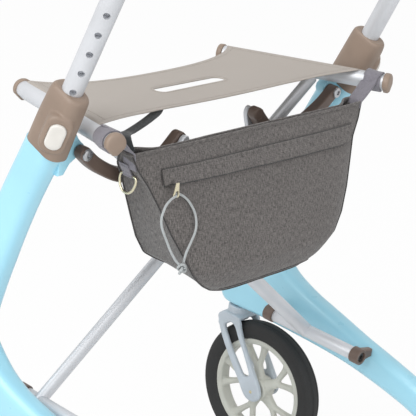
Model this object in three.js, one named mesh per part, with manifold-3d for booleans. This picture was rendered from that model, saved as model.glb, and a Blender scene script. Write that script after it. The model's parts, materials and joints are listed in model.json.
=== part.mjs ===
// A folding four-wheeled walking aid with a fabric seat and a hanging bag.
// Millimetres. X runs to the right, Y runs forward, Z runs up.
// The origin is on the floor, midway between the wheel axles and the two sides.
// Each side is drawn on the +X side, and the left one is turned over to -X.

import * as THREE from "three";
import { mergeVertices } from "three/addons/utils/BufferGeometryUtils.js";
import Module from "manifold-3d";

const wasm = await Module();
wasm.setup();

// Clearance between pieces that touch or turn on each other.
const gap = 0.3;
// How far a cutter runs past the face it cuts, and a welded piece into its neighbour.
const reach = 2;

// Wheels.
const wheelRadius = 100;
const wheelHalfWidth = 14;
const wheelSides = 24;
const tyreInnerRadius = 76;
const axleHeight = wheelRadius;
const frontAxleY = 222;
const rearAxleY = -222;
const frontWheelX = 268;
const rearWheelX = 290;
const hubRadius = 17;
const hubHalfWidth = 13;
const rimInnerRadius = 67;
const rimHalfWidth = 10.5;
const spokeCount = 5;
const spokeHalfWidth = 4.6;
const spokeHalfThickness = 4;
// Each spoke is a broad stem that parts into two branches before the ring.
const stemHalfWidth = 7;
const branchRadius = 31;
const branchSpread = THREE.MathUtils.degToRad(16);
const hubSides = 12;
const headSides = 6;

// Tread and side wall of the tyre: radius, then offset from the middle of the wheel.
const tyreProfile = [
  [tyreInnerRadius, -10.5], [88, -wheelHalfWidth], [97, -11],
  [wheelRadius, -4.5], [wheelRadius, 4.5], [97, 11], [88, wheelHalfWidth],
  [tyreInnerRadius, 10.5],
];

// Side frame, seen from the right: Y, then Z.
const frameOutline = [
  [181, 629], [192, 603], [204, 574], [224, 526], [243, 479], [257, 444], [269, 408],
  [281, 366], [292, 325], [303, 284], [311, 252], [314, 236], [312, 222], [304, 212],
  [292, 209.5], [272, 209.5], [240, 210], [200, 210], [163, 209.5], [118, 208],
  [72, 204.5], [18, 196], [-34, 184], [-80, 166], [-115, 148], [-148.4, 127.7],
  [-182, 104], [-208, 85], [-217, 80.8], [-228, 80.9], [-237, 86.8], [-241.9, 98],
  [-240.6, 108], [-233.6, 116.3], [-203, 138], [-171.6, 160.3], [-135, 184],
  [-100, 203], [-65, 218], [-23, 232], [6, 238.5], [35, 244], [83, 257], [127, 268.5],
  [161, 277], [186, 287], [206, 299], [221, 312], [229, 326], [231, 341], [228, 358],
  [216, 403], [201, 450], [184, 501], [168, 538], [152, 575], [133, 611],
];
const frameX = 268;
const frameHalfDepth = 16;
const frameRounding = 13;
const frameRoundSteps = 2;
// The lower beam drifts inward and thins toward the rear wheel.
const beamRearInset = 14;
const beamDriftStartY = 200;
const beamDriftEndY = -222;
const legFreeZ = 330;
const beamMeetZ = 262;
// Depth of the side frame as a share of its middle depth, by Y, below the fork of leg and beam.
const depthShares = [[-244, 0.75], [50, 0.94], [200, 1], [290, 1.22], [330, 1.22]];

// Handle tube: a straight line that leans back, given by the top of the collar.
const collarTopY = 145;
const collarTopZ = 652;
const tubeLean = THREE.MathUtils.degToRad(20.5);
const tubeRadius = 12;
const tubeWall = 1.6;
const tubeSides = 16;
const tubeAbove = 211;
const tubeBelow = 130;
const boreDepth = 242;
const holeRadius = 3.9;
const holeSides = 6;
const holePitch = 25;
const holesAbove = 7;
const holesBelow = 2;
const buttonTurn = THREE.MathUtils.degToRad(44);

// Collar: distance down the tube, then fore-and-aft half, inner half and outer half.
const collarRings = [
  [0, 20, 13, 13.4], [2.5, 22.6, 13.8, 15.4], [14, 24, 14, 17], [44, 25, 14.2, 17.6],
  [72, 25.6, 15, 17], [78, 25.8, 15.6, 16.4],
];
const collarCornerShare = 0.85;
const collarCut = 78;
const collarCornerSteps = 2;
const buttonCornerSteps = 2;
const bossCentre = 45;
const bossHalfWidth = 15;
const bossHalfHeight = 24;
const bossCorner = 11;
const bossFace = 26.5;
const buttonHalfWidth = 9.6;
const buttonHalfHeight = 16.2;
const buttonCorner = 9;
const buttonFace = 30;
const buttonSeat = 21;
const recessFloor = 16;
const buttonPinRadius = 3.2;
const bossRoot = 6;
const smallBevel = 1.6;
const smallBevelSteps = 1;

// Seat rails, from the rear end to the front end: X, Y, Z on the right side.
const railRear = new THREE.Vector3(247, 96, 605);
const railFront = new THREE.Vector3(179, 308.5, 588.3);
const railHalfWidth = 10.5;
const railArcHeight = 1;
const railArcPast = 0.12;
const railDropGrow = 1.35;
const railDrop = 12;
const railWall = 2;
const railSides = 9;
const capGrow = 1.8;
const capThickness = 8;
const capPlugLength = 12;
const capBevel = 2;

// Folding cross: lower hinges, oval tubes, and the pivot where the tubes pass.
const hingeX = 221.6;
const hingeZ = 244;
const pivotZ = 420;
const tubeAY = 186;
const tubeBY = 130;
const ovalHalfY = 11;
const ovalHalfPlane = 7;
const ovalSides = 12;
const sleeveRadius = 9;
const hingeBoltRadius = 4;
const sleeveSides = 14;
// Front and rear ends of each hinge sleeve.
const sleeveRight = [50, 185];
const sleeveLeft = [68, 206];
const bushLength = 15;
const bushRadius = 11;
const bushRecessRadius = 7;
const bushRecessDepth = 6;
const bushArmBelow = 12;
const bushArmAbove = 4;
const bushArmDepth = 1.5;
const boltHeadRadius = 6;
const boltHeadLength = 4;
const pivotBoltRadius = 4;
const pivotHeadRadius = 7.5;
const pivotHeadLength = 4;
const spacerRadius = 9;

// Folding links between the legs and the cross tubes.
const linkOuter = [235.5, 574];
const linkInner = [80.5, 567];
// Middle line of the link: X, then Z.
const linkLine = [
  [235.5, 574], [220, 561], [200, 549], [178, 539], [154, 534], [128, 536], [104, 546],
  [80.5, 567],
];
const linkHalfWidth = 8.2;
const barEndSteps = 6;
const linkRightY = [159, 173];
const linkLeftY = [143, 157];
const linkPinRadius = 4;
const linkPinHeadRadius = 7;
const linkPinHeadLength = 3;
const linkBossRadius = 7;
const linkBossLength = 0.7;
const lugLength = 14;
// Lug on the leg that carries the link and the rail rest: X, then Z.
const lugOutline = [
  [226, 573], [228.6, 568.6], [235, 566.5], [246, 560], [254, 548], [262, 548],
  [262, 592], [250, 596], [228, 596], [226, 590],
];
const bracketThickness = 7;
// Bracket on the cross tube that reaches the inner end of the link: X, then Z.
const bracketOutline = [
  [80.5, 578], [73, 574], [69.8, 566], [73, 558], [100, 500], [126, 520.6], [88.5, 573.5],
];

// Caster fork.
const steerY = 283;
const stemRadius = 6;
const stemTop = 258;
const forkInnerHalf = 16.5;
const forkPlate = 7;
const crownBottom = 176;
const crownTop = 198;
const crownFrontY = 301;
const crownRearY = 263;
const bearingRadius = 16;
const bearingTop = 209.2;
const forkWheelClear = 103.5;
const boltRadius = 4;
const axleHeadRadius = 8;
const axleHeadLength = 3;
// Looped fork leg: Y, then Z, with the slot inside it.
const forkOutline = [
  [301, 196], [300, 184], [292, 166], [279, 146], [262, 124], [247, 106], [238, 94],
  [229, 86.5], [218, 85.5], [209, 91], [206, 100], [210, 111], [222, 128], [238, 150],
  [250, 168], [258, 184], [263, 196],
];
const forkSlot = [
  [283, 176], [272, 158], [256, 138], [245, 125], [238, 122], [236, 128], [246, 144],
  [260, 164], [270, 180], [278, 184],
];

// Rear axle and brake shoe.
const rearAxleRadius = 5;
const rearAxleInnerX = 238;
const rearAxleOuterX = 306;
const shoePivotY = -128;
const shoePivotZ = 170;
const shoePinRadius = 4;
const shoeInnerX = 279;
const shoeOuterX = 301;
const shoePinInnerX = 254;
// Brake shoe: Y, then Z.
const shoeOutline = [
  [-121, 166], [-119, 174], [-124, 181], [-134, 184], [-150, 190], [-166, 202],
  [-172, 204], [-178, 200], [-178.3, 194.3], [-163, 184.7], [-150, 175.7], [-142.2, 167.1],
  [-135, 163.4], [-127, 161],
];

// Handle housing, grip and brake lever, seen from the right: Y, then Z.
const housingOutline = [
  [101, 826], [94, 850], [85, 868], [68, 881], [44, 885], [44, 852], [37, 846],
  [37, 822], [58, 817], [66, 811],
];
const housingHalf = 14;
const housingBevel = 4;
const gripStart = [42.6, 869];
const gripEnd = [-98, 877];
const gripBarRadius = 9.5;
const gripBarRoot = 10;
const gripEndWall = 6;
// Grip: distance along the bar, then radius.
const gripProfile = [
  [0, 16.5], [5, 17], [9, 15.2], [30, 15.8], [58, 16.4], [86, 15.6], [116, 15],
  [130, 16.6], [138, 16], [142, 12],
];
const gripSides = 12;
const leverPivot = [48, 833];
const leverHalf = 6;
const leverBevel = 1.5;
const leverPinRadius = 3;
const leverBossRadius = 8;
const leverSlotSpare = 2;
const leverOutline = [
  [56, 836], [52, 841], [44, 841], [34, 834], [12, 829], [-20, 826], [-56, 825], [-84, 828],
  [-88, 824], [-84, 819], [-56, 815], [-20, 816], [14, 820], [40, 824], [50, 825.5], [56, 830],
];

// Seat cloth.
const clothThickness = 2;
const clothWrapGap = 0.3;
const seatRows = 6;
const seatColumns = 10;
const seatSag = 8;
const slotCutDepth = 120;
const seatRearY = 128;
const seatRearDip = 22;
const seatFrontY = 305;
const seatFrontDip = 30;
const seatEdgePower = 4;
const slotHalfLength = 60;
const slotHalfWidth = 10;
const slotY = 210;
const slotEndSteps = 4;
// Start and end of the cloth sleeve on the rail, measured from the rear end of the rail.
const wrapStart = 32;
const wrapEndMargin = 1;

// Bag: height, half width, rear face, front face in the middle, and front face at the sides.
const bagRings = [
  [407, 84, 54, 92, 96], [410, 92, 50, 100, 104], [420, 110, 45, 108, 118],
  [440, 133, 42, 113, 132], [462, 147, 47, 113, 135], [490, 163, 57, 113, 132],
  [520, 173, 69, 113, 124], [545, 180, 80, 113, 113], [565, 192, 89, 113, 113],
  [583, 204, 98, 113, 113],
];
const bagWall = 2.5;
const bagCorner = 12;
const bagCornerShare = 1 / 3;
// Widths in from the side where the front face is level with the sides, and with the middle.
const bagSideFlat = 9;
const bagSideRamp = 38;

// Straps that hang the bag from the rails.
const strapStart = 3;
const strapLength = 22;
const strapThickness = 2;
const strapPlateY = [113.4, 115.6];
// Strap tail: X, then Z.
const strapTail = [
  [238, 592], [252, 588], [248, 574], [196, 540], [172, 552], [178, 566], [226, 590],
];
const tabX = [196.4, 210.5];
const tabY = [101.5, 114];
const tabZ = [554, 570];
const ringY = [103.4, 106.6];
const ringOuter = [
  [201, 549], [216, 549], [223.5, 554], [226.5, 562], [223.5, 570], [216, 575], [201, 575],
];
const ringInner = [
  [204.4, 552.4], [215, 552.4], [220.8, 556], [223.1, 562], [220.8, 568], [215, 571.6], [204.4, 571.6],
];
const ringBar = [201, 204.4];

// Zip slider, its pull, and the cord loop on it.
const sliderX = -161.5;
const sliderZ = 553;
const sliderFaceY = 81.4;
const sliderHalfX = 4.5;
const sliderHalfZ = 4;
const pullOutline = [
  [-165.3, 551], [-157.7, 551], [-157, 536], [-159.5, 532.6], [-163.5, 532.6], [-166, 536],
];
const pullHole = [
  [-164.3, 543.6], [-158.7, 543.6], [-158.4, 538], [-159.8, 536.4], [-163.2, 536.4],
  [-164.6, 538],
];
const pullY = [70.5, 72.5];
const cordRadius = 1.4;
const cordSides = 6;
const cordSteps = 60;
// Cord loop: out of the knot, up, through the hole of the pull, and down again.
const cordLoop = [
  [-160, 50.4, 461], [-167, 52.6, 466.5], [-174.8, 56.6, 479.5], [-180.5, 59.5, 491],
  [-185, 62.3, 501.5], [-187.5, 64.5, 510.5], [-187, 66, 520], [-181, 67.2, 533],
  [-173.5, 67.9, 538.4], [-166.5, 68.6, 540.2], [-163.6, 69.4, 540.4], [-161.5, 71.5, 540.4],
  [-159.4, 73.6, 540.4], [-156.5, 74.4, 540.2], [-149, 73.2, 536.3], [-141, 69.2, 528.5],
  [-135.2, 63.6, 516.5], [-134.4, 59.2, 504.5], [-138.2, 55.8, 494.5], [-146.5, 53.2, 484],
  [-153, 51.8, 473.5], [-155.5, 50.4, 461.5],
];
const knotCentre = [-157.2, 50, 457.5];
const knotRadius = 6;
const knotSides = 8;
const knotRings = 5;

// Dark webbing under the rear edge of the seat.
const webbing = [
  [-200, 126, 598.5], [-190, 132, 595.5], [-181.6, 136, 592.5], [-150, 143, 598],
  [-125, 150, 603], [-109, 160, 604], [-96, 170, 603],
];
const webbingHalfWidth = 8;
const webbingThickness = 2;

// Colours.
const colours = {
  frame: 0xa5dcee,
  taupe: 0x9a8272,
  darkTaupe: 0x6b5a50,
  button: 0xd8d5cf,
  aluminium: 0xd5d7dc,
  steel: 0xb9bbbe,
  cloth: 0xbab2aa,
  bag: 0x6e6a68,
  strap: 0x86838b,
  webbing: 0x2a2e30,
  fork: 0xb4bec6,
  hub: 0xc8c9c0,
  tyre: 0x2e2e2e,
  grip: 0x3c3b3d,
  brass: 0xe0d8b8,
  cord: 0xc5cacb,
};

const group = new THREE.Group();
group.name = "rollator";

// Turns a closed geometry into a solid that can be cut and joined.
function solidOf(geometry) {
  const plain = geometry.clone();
  plain.deleteAttribute("normal");
  plain.deleteAttribute("uv");
  const merged = mergeVertices(plain);
  const corners = merged.index.array;
  const triangles = [];
  for (let i = 0; i < corners.length; i += 3) {
    const [a, b, c] = corners.slice(i, i + 3);
    if (a !== b && b !== c && c !== a) {
      triangles.push(a, b, c);
    }
  }
  const mesh = new wasm.Mesh({
    numProp: 3,
    vertProperties: new Float32Array(merged.attributes.position.array),
    triVerts: new Uint32Array(triangles),
  });
  mesh.merge();
  return new wasm.Manifold(mesh);
}

function addNode(name, solid, colour, finish) {
  const mesh = solid.getMesh();
  const geometry = new THREE.BufferGeometry();
  const stride = mesh.numProp;
  const count = mesh.vertProperties.length / stride;
  const position = new Float32Array(count * 3);
  for (let i = 0; i < count; i += 1) {
    for (let k = 0; k < 3; k += 1) {
      position[i * 3 + k] = mesh.vertProperties[i * stride + k];
    }
  }
  geometry.setAttribute("position", new THREE.BufferAttribute(position, 3));
  geometry.setIndex(new THREE.BufferAttribute(new Uint32Array(mesh.triVerts), 1));
  geometry.computeVertexNormals();
  const material = new THREE.MeshStandardMaterial({
    color: colour,
    roughness: finish.roughness,
    metalness: finish.metalness,
  });
  const item = new THREE.Mesh(geometry, material);
  item.name = name;
  group.add(item);
}

const plastic = { roughness: 0.5, metalness: 0 };
const metal = { roughness: 0.35, metalness: 1 };
const soft = { roughness: 0.95, metalness: 0 };

function shapeOf(points) {
  return new THREE.Shape(points.map(([x, y]) => new THREE.Vector2(x, y)));
}

function extruded(points, length, bevel = 0, steps = 0) {
  return new THREE.ExtrudeGeometry(shapeOf(points), {
    depth: length - bevel * 2,
    bevelEnabled: bevel > 0,
    bevelThickness: bevel,
    bevelSize: bevel,
    bevelOffset: -bevel,
    bevelSegments: steps,
    steps: 1,
  }).translate(0, 0, bevel);
}

// Outline drawn in Y and Z, pushed along X.
function plateX(points, x0, x1, bevel = 0, steps = 0) {
  const turn = new THREE.Matrix4().makeBasis(
    new THREE.Vector3(0, 1, 0),
    new THREE.Vector3(0, 0, 1),
    new THREE.Vector3(1, 0, 0),
  );
  return extruded(points, x1 - x0, bevel, steps).applyMatrix4(turn).translate(x0, 0, 0);
}

// Outline drawn in X and Z, pushed along Y.
function plateY(points, y0, y1, bevel = 0, steps = 0) {
  return extruded(points, y1 - y0, bevel, steps).rotateX(Math.PI / 2).translate(0, y1, 0);
}

function block(x0, x1, y0, y1, z0, z1) {
  const box = new THREE.BoxGeometry(x1 - x0, y1 - y0, z1 - z0);
  return solidOf(box.translate((x0 + x1) / 2, (y0 + y1) / 2, (z0 + z1) / 2));
}

// Placement whose local Z runs from one point to another, with local Y kept near the given side.
function placement(from, to, side) {
  const along = new THREE.Vector3().subVectors(to, from).normalize();
  const up = side.clone().addScaledVector(along, -side.dot(along)).normalize();
  const across = new THREE.Vector3().crossVectors(up, along);
  return new THREE.Matrix4().makeBasis(across, up, along).setPosition(from);
}

function swept(points, from, to, side) {
  const length = from.distanceTo(to);
  return solidOf(extruded(points, length).applyMatrix4(placement(from, to, side)));
}

function circle(radius, sides, turn = 0) {
  return Array.from({ length: sides }, (_, i) => {
    const angle = turn + (i / sides) * Math.PI * 2;
    return [Math.cos(angle) * radius, Math.sin(angle) * radius];
  });
}

function oval(halfX, halfY, sides) {
  return circle(1, sides, Math.PI / sides).map(([x, y]) => [x * halfX, y * halfY]);
}

const upward = new THREE.Vector3(0, 0, 1);
const forward = new THREE.Vector3(0, 1, 0);

function rodX(x0, x1, y, z, radius, sides) {
  return swept(circle(radius, sides), new THREE.Vector3(x0, y, z), new THREE.Vector3(x1, y, z), upward);
}

function rodY(x, y0, y1, z, radius, sides) {
  return swept(circle(radius, sides), new THREE.Vector3(x, y0, z), new THREE.Vector3(x, y1, z), upward);
}

function rodZ(x, y, z0, z1, radius, sides) {
  return swept(circle(radius, sides), new THREE.Vector3(x, y, z0), new THREE.Vector3(x, y, z1), forward);
}

// Closed skin over a stack of rings that all have the same number of points.
function lofted(rings) {
  const sides = rings[0].length;
  const position = [];
  const index = [];
  for (const ring of rings) {
    for (const point of ring) {
      position.push(point.x, point.y, point.z);
    }
  }
  for (let r = 0; r + 1 < rings.length; r += 1) {
    for (let i = 0; i < sides; i += 1) {
      const next = (i + 1) % sides;
      const a = r * sides + i;
      const b = r * sides + next;
      index.push(a, b, b + sides, a, b + sides, a + sides);
    }
  }
  const last = (rings.length - 1) * sides;
  for (let i = 1; i + 1 < sides; i += 1) {
    index.push(0, i + 1, i);
    index.push(last, last + i, last + i + 1);
  }
  const geometry = new THREE.BufferGeometry();
  geometry.setAttribute("position", new THREE.Float32BufferAttribute(position, 3));
  geometry.setIndex(index);
  return solidOf(geometry);
}

// Lathe profile of radius and height, turned about Z.
function turned(profile, sides, phase = 0) {
  const points = profile.map(([r, z]) => new THREE.Vector2(r, z));
  if (points[0].x > 0) {
    points.push(points[0].clone());
  }
  return new THREE.LatheGeometry(points, sides, phase).rotateX(Math.PI / 2);
}

// Makes both copies of a piece that is drawn on the +X side.
function addPair(stem, make, colour, finish) {
  for (const side of ["left", "right"]) {
    const solid = make(side);
    addNode(`${stem}_${side}`, side === "left" ? solid.mirror([1, 0, 0]) : solid, colour, finish);
  }
}

function lookUp(table, value) {
  for (let i = 0; i + 1 < table.length; i += 1) {
    const [v0, r0] = table[i];
    const [v1, r1] = table[i + 1];
    if (value <= v1) {
      return THREE.MathUtils.mapLinear(Math.max(value, v0), v0, v1, r0, r1);
    }
  }
  return table[table.length - 1][1];
}

// Direction down the handle tube, and the fore-and-aft direction square to it.
const downTube = new THREE.Vector3(0, Math.sin(tubeLean), -Math.cos(tubeLean));
const acrossTube = new THREE.Vector3(0, Math.cos(tubeLean), Math.sin(tubeLean));
const buttonWay = new THREE.Vector3(Math.cos(buttonTurn), 0, 0)
  .addScaledVector(acrossTube, -Math.sin(buttonTurn));

function tubePoint(down) {
  return new THREE.Vector3(frameX, collarTopY, collarTopZ).addScaledVector(downTube, down);
}

function tubeRod(down0, down1, radius, sides) {
  return swept(circle(radius, sides), tubePoint(down0), tubePoint(down1), acrossTube);
}

function roundedRectangle(halfX, halfY, corner, steps) {
  const points = [];
  const corners = [[1, 1, 0], [-1, 1, 1], [-1, -1, 2], [1, -1, 3]];
  for (const [sx, sy, quarter] of corners) {
    for (let i = 0; i <= steps; i += 1) {
      const angle = (quarter + i / steps) * (Math.PI / 2);
      points.push([
        sx * (halfX - corner) + Math.cos(angle) * corner,
        sy * (halfY - corner) + Math.sin(angle) * corner,
      ]);
    }
  }
  return points;
}

// A rounded block that stands out of the collar along the way the button faces.
function buttonBlock(halfWidth, halfHeight, corner, from, to, bevel, steps) {
  const centre = tubePoint(bossCentre);
  const start = centre.clone().addScaledVector(buttonWay, from);
  const end = centre.clone().addScaledVector(buttonWay, to);
  const outline = roundedRectangle(halfWidth, halfHeight, corner, buttonCornerSteps);
  const body = extruded(outline, start.distanceTo(end) + bevel, bevel, steps);
  body.translate(0, 0, -bevel);
  return solidOf(body.applyMatrix4(placement(start, end, downTube)));
}

// Seat rail profile: round on top, drawn in to an edge below.
function railOutline(grow) {
  const radius = railHalfWidth + grow;
  const start = -railArcPast * Math.PI;
  const sweep = Math.PI - 2 * start;
  const points = [[0, -railDrop - grow * railDropGrow]];
  for (let i = 0; i <= railSides; i += 1) {
    const angle = start + (i / railSides) * sweep;
    points.push([Math.cos(angle) * radius, railArcHeight + Math.sin(angle) * radius]);
  }
  return points;
}

const railWay = new THREE.Vector3().subVectors(railFront, railRear).normalize();

function railPoint(distance) {
  return railRear.clone().addScaledVector(railWay, distance);
}

function railBar(grow, from, to) {
  return swept(railOutline(grow), railPoint(from), railPoint(to), upward);
}

const railLength = railRear.distanceTo(railFront);

// The outline pieces get their depth and drift here, point by point.
function shapeSideFrame(geometry) {
  const position = geometry.attributes.position;
  for (let i = 0; i < position.count; i += 1) {
    const y = position.getY(i);
    const z = position.getZ(i);
    const low = 1 - THREE.MathUtils.smoothstep(z, beamMeetZ, legFreeZ);
    const drift = THREE.MathUtils.clamp((beamDriftStartY - y) / (beamDriftStartY - beamDriftEndY), 0, 1);
    const depthShare = THREE.MathUtils.lerp(1, lookUp(depthShares, y), low);
    const middle = frameX - beamRearInset * drift * low;
    position.setX(i, middle + position.getX(i) * depthShare);
  }
  return geometry;
}

// Half-space above the cut at the foot of the collar.
function aboveCut(down, side) {
  const centre = tubePoint(down);
  const size = boreDepth;
  const box = new THREE.BoxGeometry(size, size, size);
  box.translate(0, 0, -side * size / 2);
  box.applyMatrix4(placement(centre, tubePoint(down + 1), acrossTube));
  return solidOf(box);
}

function bushSpan(side) {
  const [rear, front] = side === "right" ? sleeveRight : sleeveLeft;
  return { rear, front };
}

function bushEnds(side, way) {
  const { rear, front } = bushSpan(side);
  const start = way > 0 ? front + gap : rear - gap - bushLength;
  return [start, start + bushLength];
}

// The arm of a hinge bush sits in a shallow pocket of the beam.
function bushArm(side, way, grow) {
  const [start, end] = bushEnds(side, way);
  const armX = Math.max(beamInnerX(start), beamInnerX(end)) + bushArmDepth;
  return block(
    hingeX, armX + grow, start - grow, end + grow,
    hingeZ - bushArmBelow - grow, hingeZ + bushArmAbove + grow,
  );
}

function linkSpan(side) {
  return side === "right" ? linkRightY : linkLeftY;
}

// Inner face of the lower beam at this Y.
function beamInnerX(y) {
  const drift = THREE.MathUtils.clamp((beamDriftStartY - y) / (beamDriftStartY - beamDriftEndY), 0, 1);
  return frameX - beamRearInset * drift - frameHalfDepth * lookUp(depthShares, y);
}

addPair("frame", (side) => {
  const outer = plateX(frameOutline, -frameHalfDepth, frameHalfDepth, frameRounding, frameRoundSteps);
  let solid = solidOf(shapeSideFrame(outer));
  const lugRear = linkSpan(side)[1] + gap;
  const lug = solidOf(plateY(lugOutline, lugRear, lugRear + lugLength));
  solid = solid.add(lug.subtract(railBar(gap + clothThickness + clothWrapGap, 0, railLength)));
  solid = solid.subtract(aboveCut(collarCut + gap, 1));
  solid = solid.subtract(tubeRod(0, boreDepth, tubeRadius + gap, tubeSides));
  solid = solid.subtract(rodZ(frameX, steerY, 0, stemTop + gap, stemRadius + gap, hubSides));
  const boreHalf = frameHalfDepth * reach;
  solid = solid.subtract(rodX(
    frameX - boreHalf, frameX + boreHalf, rearAxleY, axleHeight, rearAxleRadius + gap, hubSides,
  ));
  solid = solid.subtract(
    rodX(shoePinInnerX - gap, shoeOuterX, shoePivotY, shoePivotZ, shoePinRadius + gap, hubSides),
  );
  for (const way of [-1, 1]) {
    solid = solid.subtract(bushArm(side, way, gap));
  }
  return solid.subtract(rodY(
    linkOuter[0], lugRear - reach, lugRear + lugLength - reach, linkOuter[1], linkPinRadius + gap, hubSides,
  ));
}, colours.frame, plastic);

addPair("collar", () => {
  const rings = collarRings.map(([down, half, inner, outer]) => {
    const middle = (outer - inner) / 2;
    const halfX = (outer + inner) / 2;
    const corner = Math.min(half, halfX) * collarCornerShare;
    const centre = tubePoint(down);
    const outline = roundedRectangle(halfX, half, corner, collarCornerSteps);
    return outline.map(([x, y]) => centre.clone()
      .add(new THREE.Vector3(x + middle, 0, 0))
      .addScaledVector(acrossTube, y));
  });
  let solid = lofted(rings.reverse());
  solid = solid.add(
    buttonBlock(bossHalfWidth, bossHalfHeight, bossCorner, bossRoot, bossFace, smallBevel, smallBevelSteps),
  );
  solid = solid.subtract(aboveCut(collarCut, -1));
  solid = solid.subtract(buttonBlock(
    buttonHalfWidth + gap, buttonHalfHeight + gap, buttonCorner + gap, recessFloor, bossFace * reach, 0, 0,
  ));
  const pin = swept(
    circle(buttonPinRadius + gap, hubSides),
    tubePoint(bossCentre),
    tubePoint(bossCentre).addScaledVector(buttonWay, bossFace),
    downTube,
  );
  solid = solid.subtract(pin);
  return solid.subtract(tubeRod(-reach, collarCut + reach, tubeRadius + gap, tubeSides));
}, colours.taupe, plastic);

addPair("push_button", () => {
  const cap = buttonBlock(
    buttonHalfWidth, buttonHalfHeight, buttonCorner, buttonSeat, buttonFace, smallBevel, smallBevelSteps,
  );
  const pin = swept(
    circle(buttonPinRadius, hubSides),
    tubePoint(bossCentre).addScaledVector(buttonWay, tubeRadius + gap * 2),
    tubePoint(bossCentre).addScaledVector(buttonWay, buttonSeat + reach),
    downTube,
  );
  return cap.add(pin);
}, colours.button, plastic);

addPair("handle_tube", () => {
  let solid = tubeRod(-tubeAbove, tubeBelow, tubeRadius, tubeSides);
  solid = solid.subtract(tubeRod(-tubeAbove - reach, tubeBelow + reach, tubeRadius - tubeWall, tubeSides));
  for (let i = -holesBelow; i <= holesAbove; i += 1) {
    const centre = tubePoint(bossCentre - i * holePitch);
    const end = centre.clone().addScaledVector(buttonWay, tubeRadius * reach);
    solid = solid.subtract(swept(circle(holeRadius, holeSides), centre, end, downTube));
  }
  return solid;
}, colours.aluminium, metal);

const gripFront = new THREE.Vector3(frameX, gripStart[0], gripStart[1]);
const gripRear = new THREE.Vector3(frameX, gripEnd[0], gripEnd[1]);
const gripLength = gripFront.distanceTo(gripRear);

function gripPoint(distance) {
  return gripFront.clone().lerp(gripRear, distance / gripLength);
}

addPair("handle_housing", () => {
  const outer = plateX(
    housingOutline, frameX - housingHalf, frameX + housingHalf, housingBevel, smallBevelSteps,
  );
  const bar = swept(
    circle(gripBarRadius, tubeSides),
    gripPoint(-gripBarRoot),
    gripPoint(gripLength - gripEndWall - gap),
    upward,
  );
  let solid = solidOf(outer).add(bar);
  solid = solid.subtract(tubeRod(-tubeAbove - gap, 0, tubeRadius + gap, tubeSides));
  const slotReach = leverBossRadius + leverSlotSpare;
  solid = solid.subtract(block(
    frameX - leverHalf - gap, frameX + leverHalf + gap,
    gripEnd[0], leverPivot[0] + slotReach,
    leverPivot[1] - leverBossRadius * reach, leverPivot[1] + slotReach,
  ));
  return solid.subtract(rodX(
    frameX - housingHalf + reach / 2, frameX + housingHalf - reach / 2,
    leverPivot[0], leverPivot[1], leverPinRadius + gap, hubSides,
  ));
}, colours.taupe, plastic);

addPair("grip", () => {
  const last = gripProfile[gripProfile.length - 1][0];
  const profile = [[0, 0]];
  for (const [along, radius] of gripProfile) {
    profile.push([radius, (along / last) * gripLength]);
  }
  profile.push([0, gripLength]);
  const place = placement(gripPoint(0), gripPoint(gripLength), upward);
  const body = solidOf(turned(profile, gripSides)).transform(place.toArray());
  const bore = swept(
    circle(gripBarRadius + gap, tubeSides),
    gripPoint(-reach),
    gripPoint(gripLength - gripEndWall),
    upward,
  );
  return body.subtract(bore);
}, colours.grip, { roughness: 0.9, metalness: 0 });

addPair("brake_lever", () => {
  const lever = plateX(leverOutline, frameX - leverHalf, frameX + leverHalf, leverBevel, smallBevelSteps);
  const pin = rodX(
    frameX - housingHalf + reach, frameX + housingHalf - reach,
    leverPivot[0], leverPivot[1], leverPinRadius, hubSides,
  );
  return solidOf(lever).add(pin);
}, colours.grip, plastic);

addPair("rail", () => {
  const outer = railBar(0, 0, railLength);
  return outer.subtract(railBar(-railWall, -reach, railLength + reach));
}, colours.aluminium, metal);

function railCap(at, way) {
  const from = way > 0 ? railLength + gap : -gap;
  const start = railPoint(from);
  const end = railPoint(from + way * capThickness);
  const facing = way > 0 ? railOutline(capGrow) : railOutline(capGrow).map(([x, y]) => [-x, y]).reverse();
  const disc = extruded(facing, capThickness, capBevel, smallBevelSteps);
  const plugEnds = [from - way * capPlugLength, from + way * reach];
  const plug = railBar(-railWall - gap, Math.min(...plugEnds), Math.max(...plugEnds));
  return solidOf(disc.applyMatrix4(placement(start, end, upward))).add(plug);
}

addPair("rail_cap_rear", () => railCap(0, -1), colours.taupe, plastic);
addPair("rail_cap_front", () => railCap(railLength, 1), colours.taupe, plastic);

// Each cross tube is drawn from the left lower hinge up to the right rail.
const crossWay = new THREE.Vector3(hingeX, 0, pivotZ - hingeZ).normalize();

function crossLine(y, share) {
  const foot = new THREE.Vector3(-hingeX, y, hingeZ);
  return foot.addScaledVector(crossWay, share);
}

function crossRod(y, grow) {
  const rail = railPoint((y - railRear.y) / railWay.y);
  const length = (rail.x + hingeX) / crossWay.x;
  const outline = oval(ovalHalfPlane + grow, ovalHalfY + grow, ovalSides);
  return swept(outline, crossLine(y, 0), crossLine(y, length), forward);
}

function crossTube(y, linkY, sleeve) {
  let solid = crossRod(y, 0);
  const bracketFront = y > (linkY[0] + linkY[1]) / 2;
  const bracketY = bracketFront ? linkY[1] + gap * 2 : linkY[0] - gap * 2 - bracketThickness;
  solid = solid.add(solidOf(plateY(bracketOutline, bracketY, bracketY + bracketThickness)));
  const bore = crossRodBore(y);
  solid = solid.subtract(bore);
  solid = solid.subtract(railBar(gap, 0, railLength));
  return solid.subtract(rodY(
    -hingeX, sleeve[0] - reach, sleeve[1] + reach, hingeZ, sleeveRadius + gap, sleeveSides,
  ));
}

function crossRodBore(y) {
  return rodY(0, y - ovalHalfY - reach, y + ovalHalfY + reach, pivotZ, pivotBoltRadius + gap, hubSides);
}

addNode("cross_tube_a", crossTube(tubeAY, linkRightY, sleeveLeft), colours.aluminium, metal);

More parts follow.
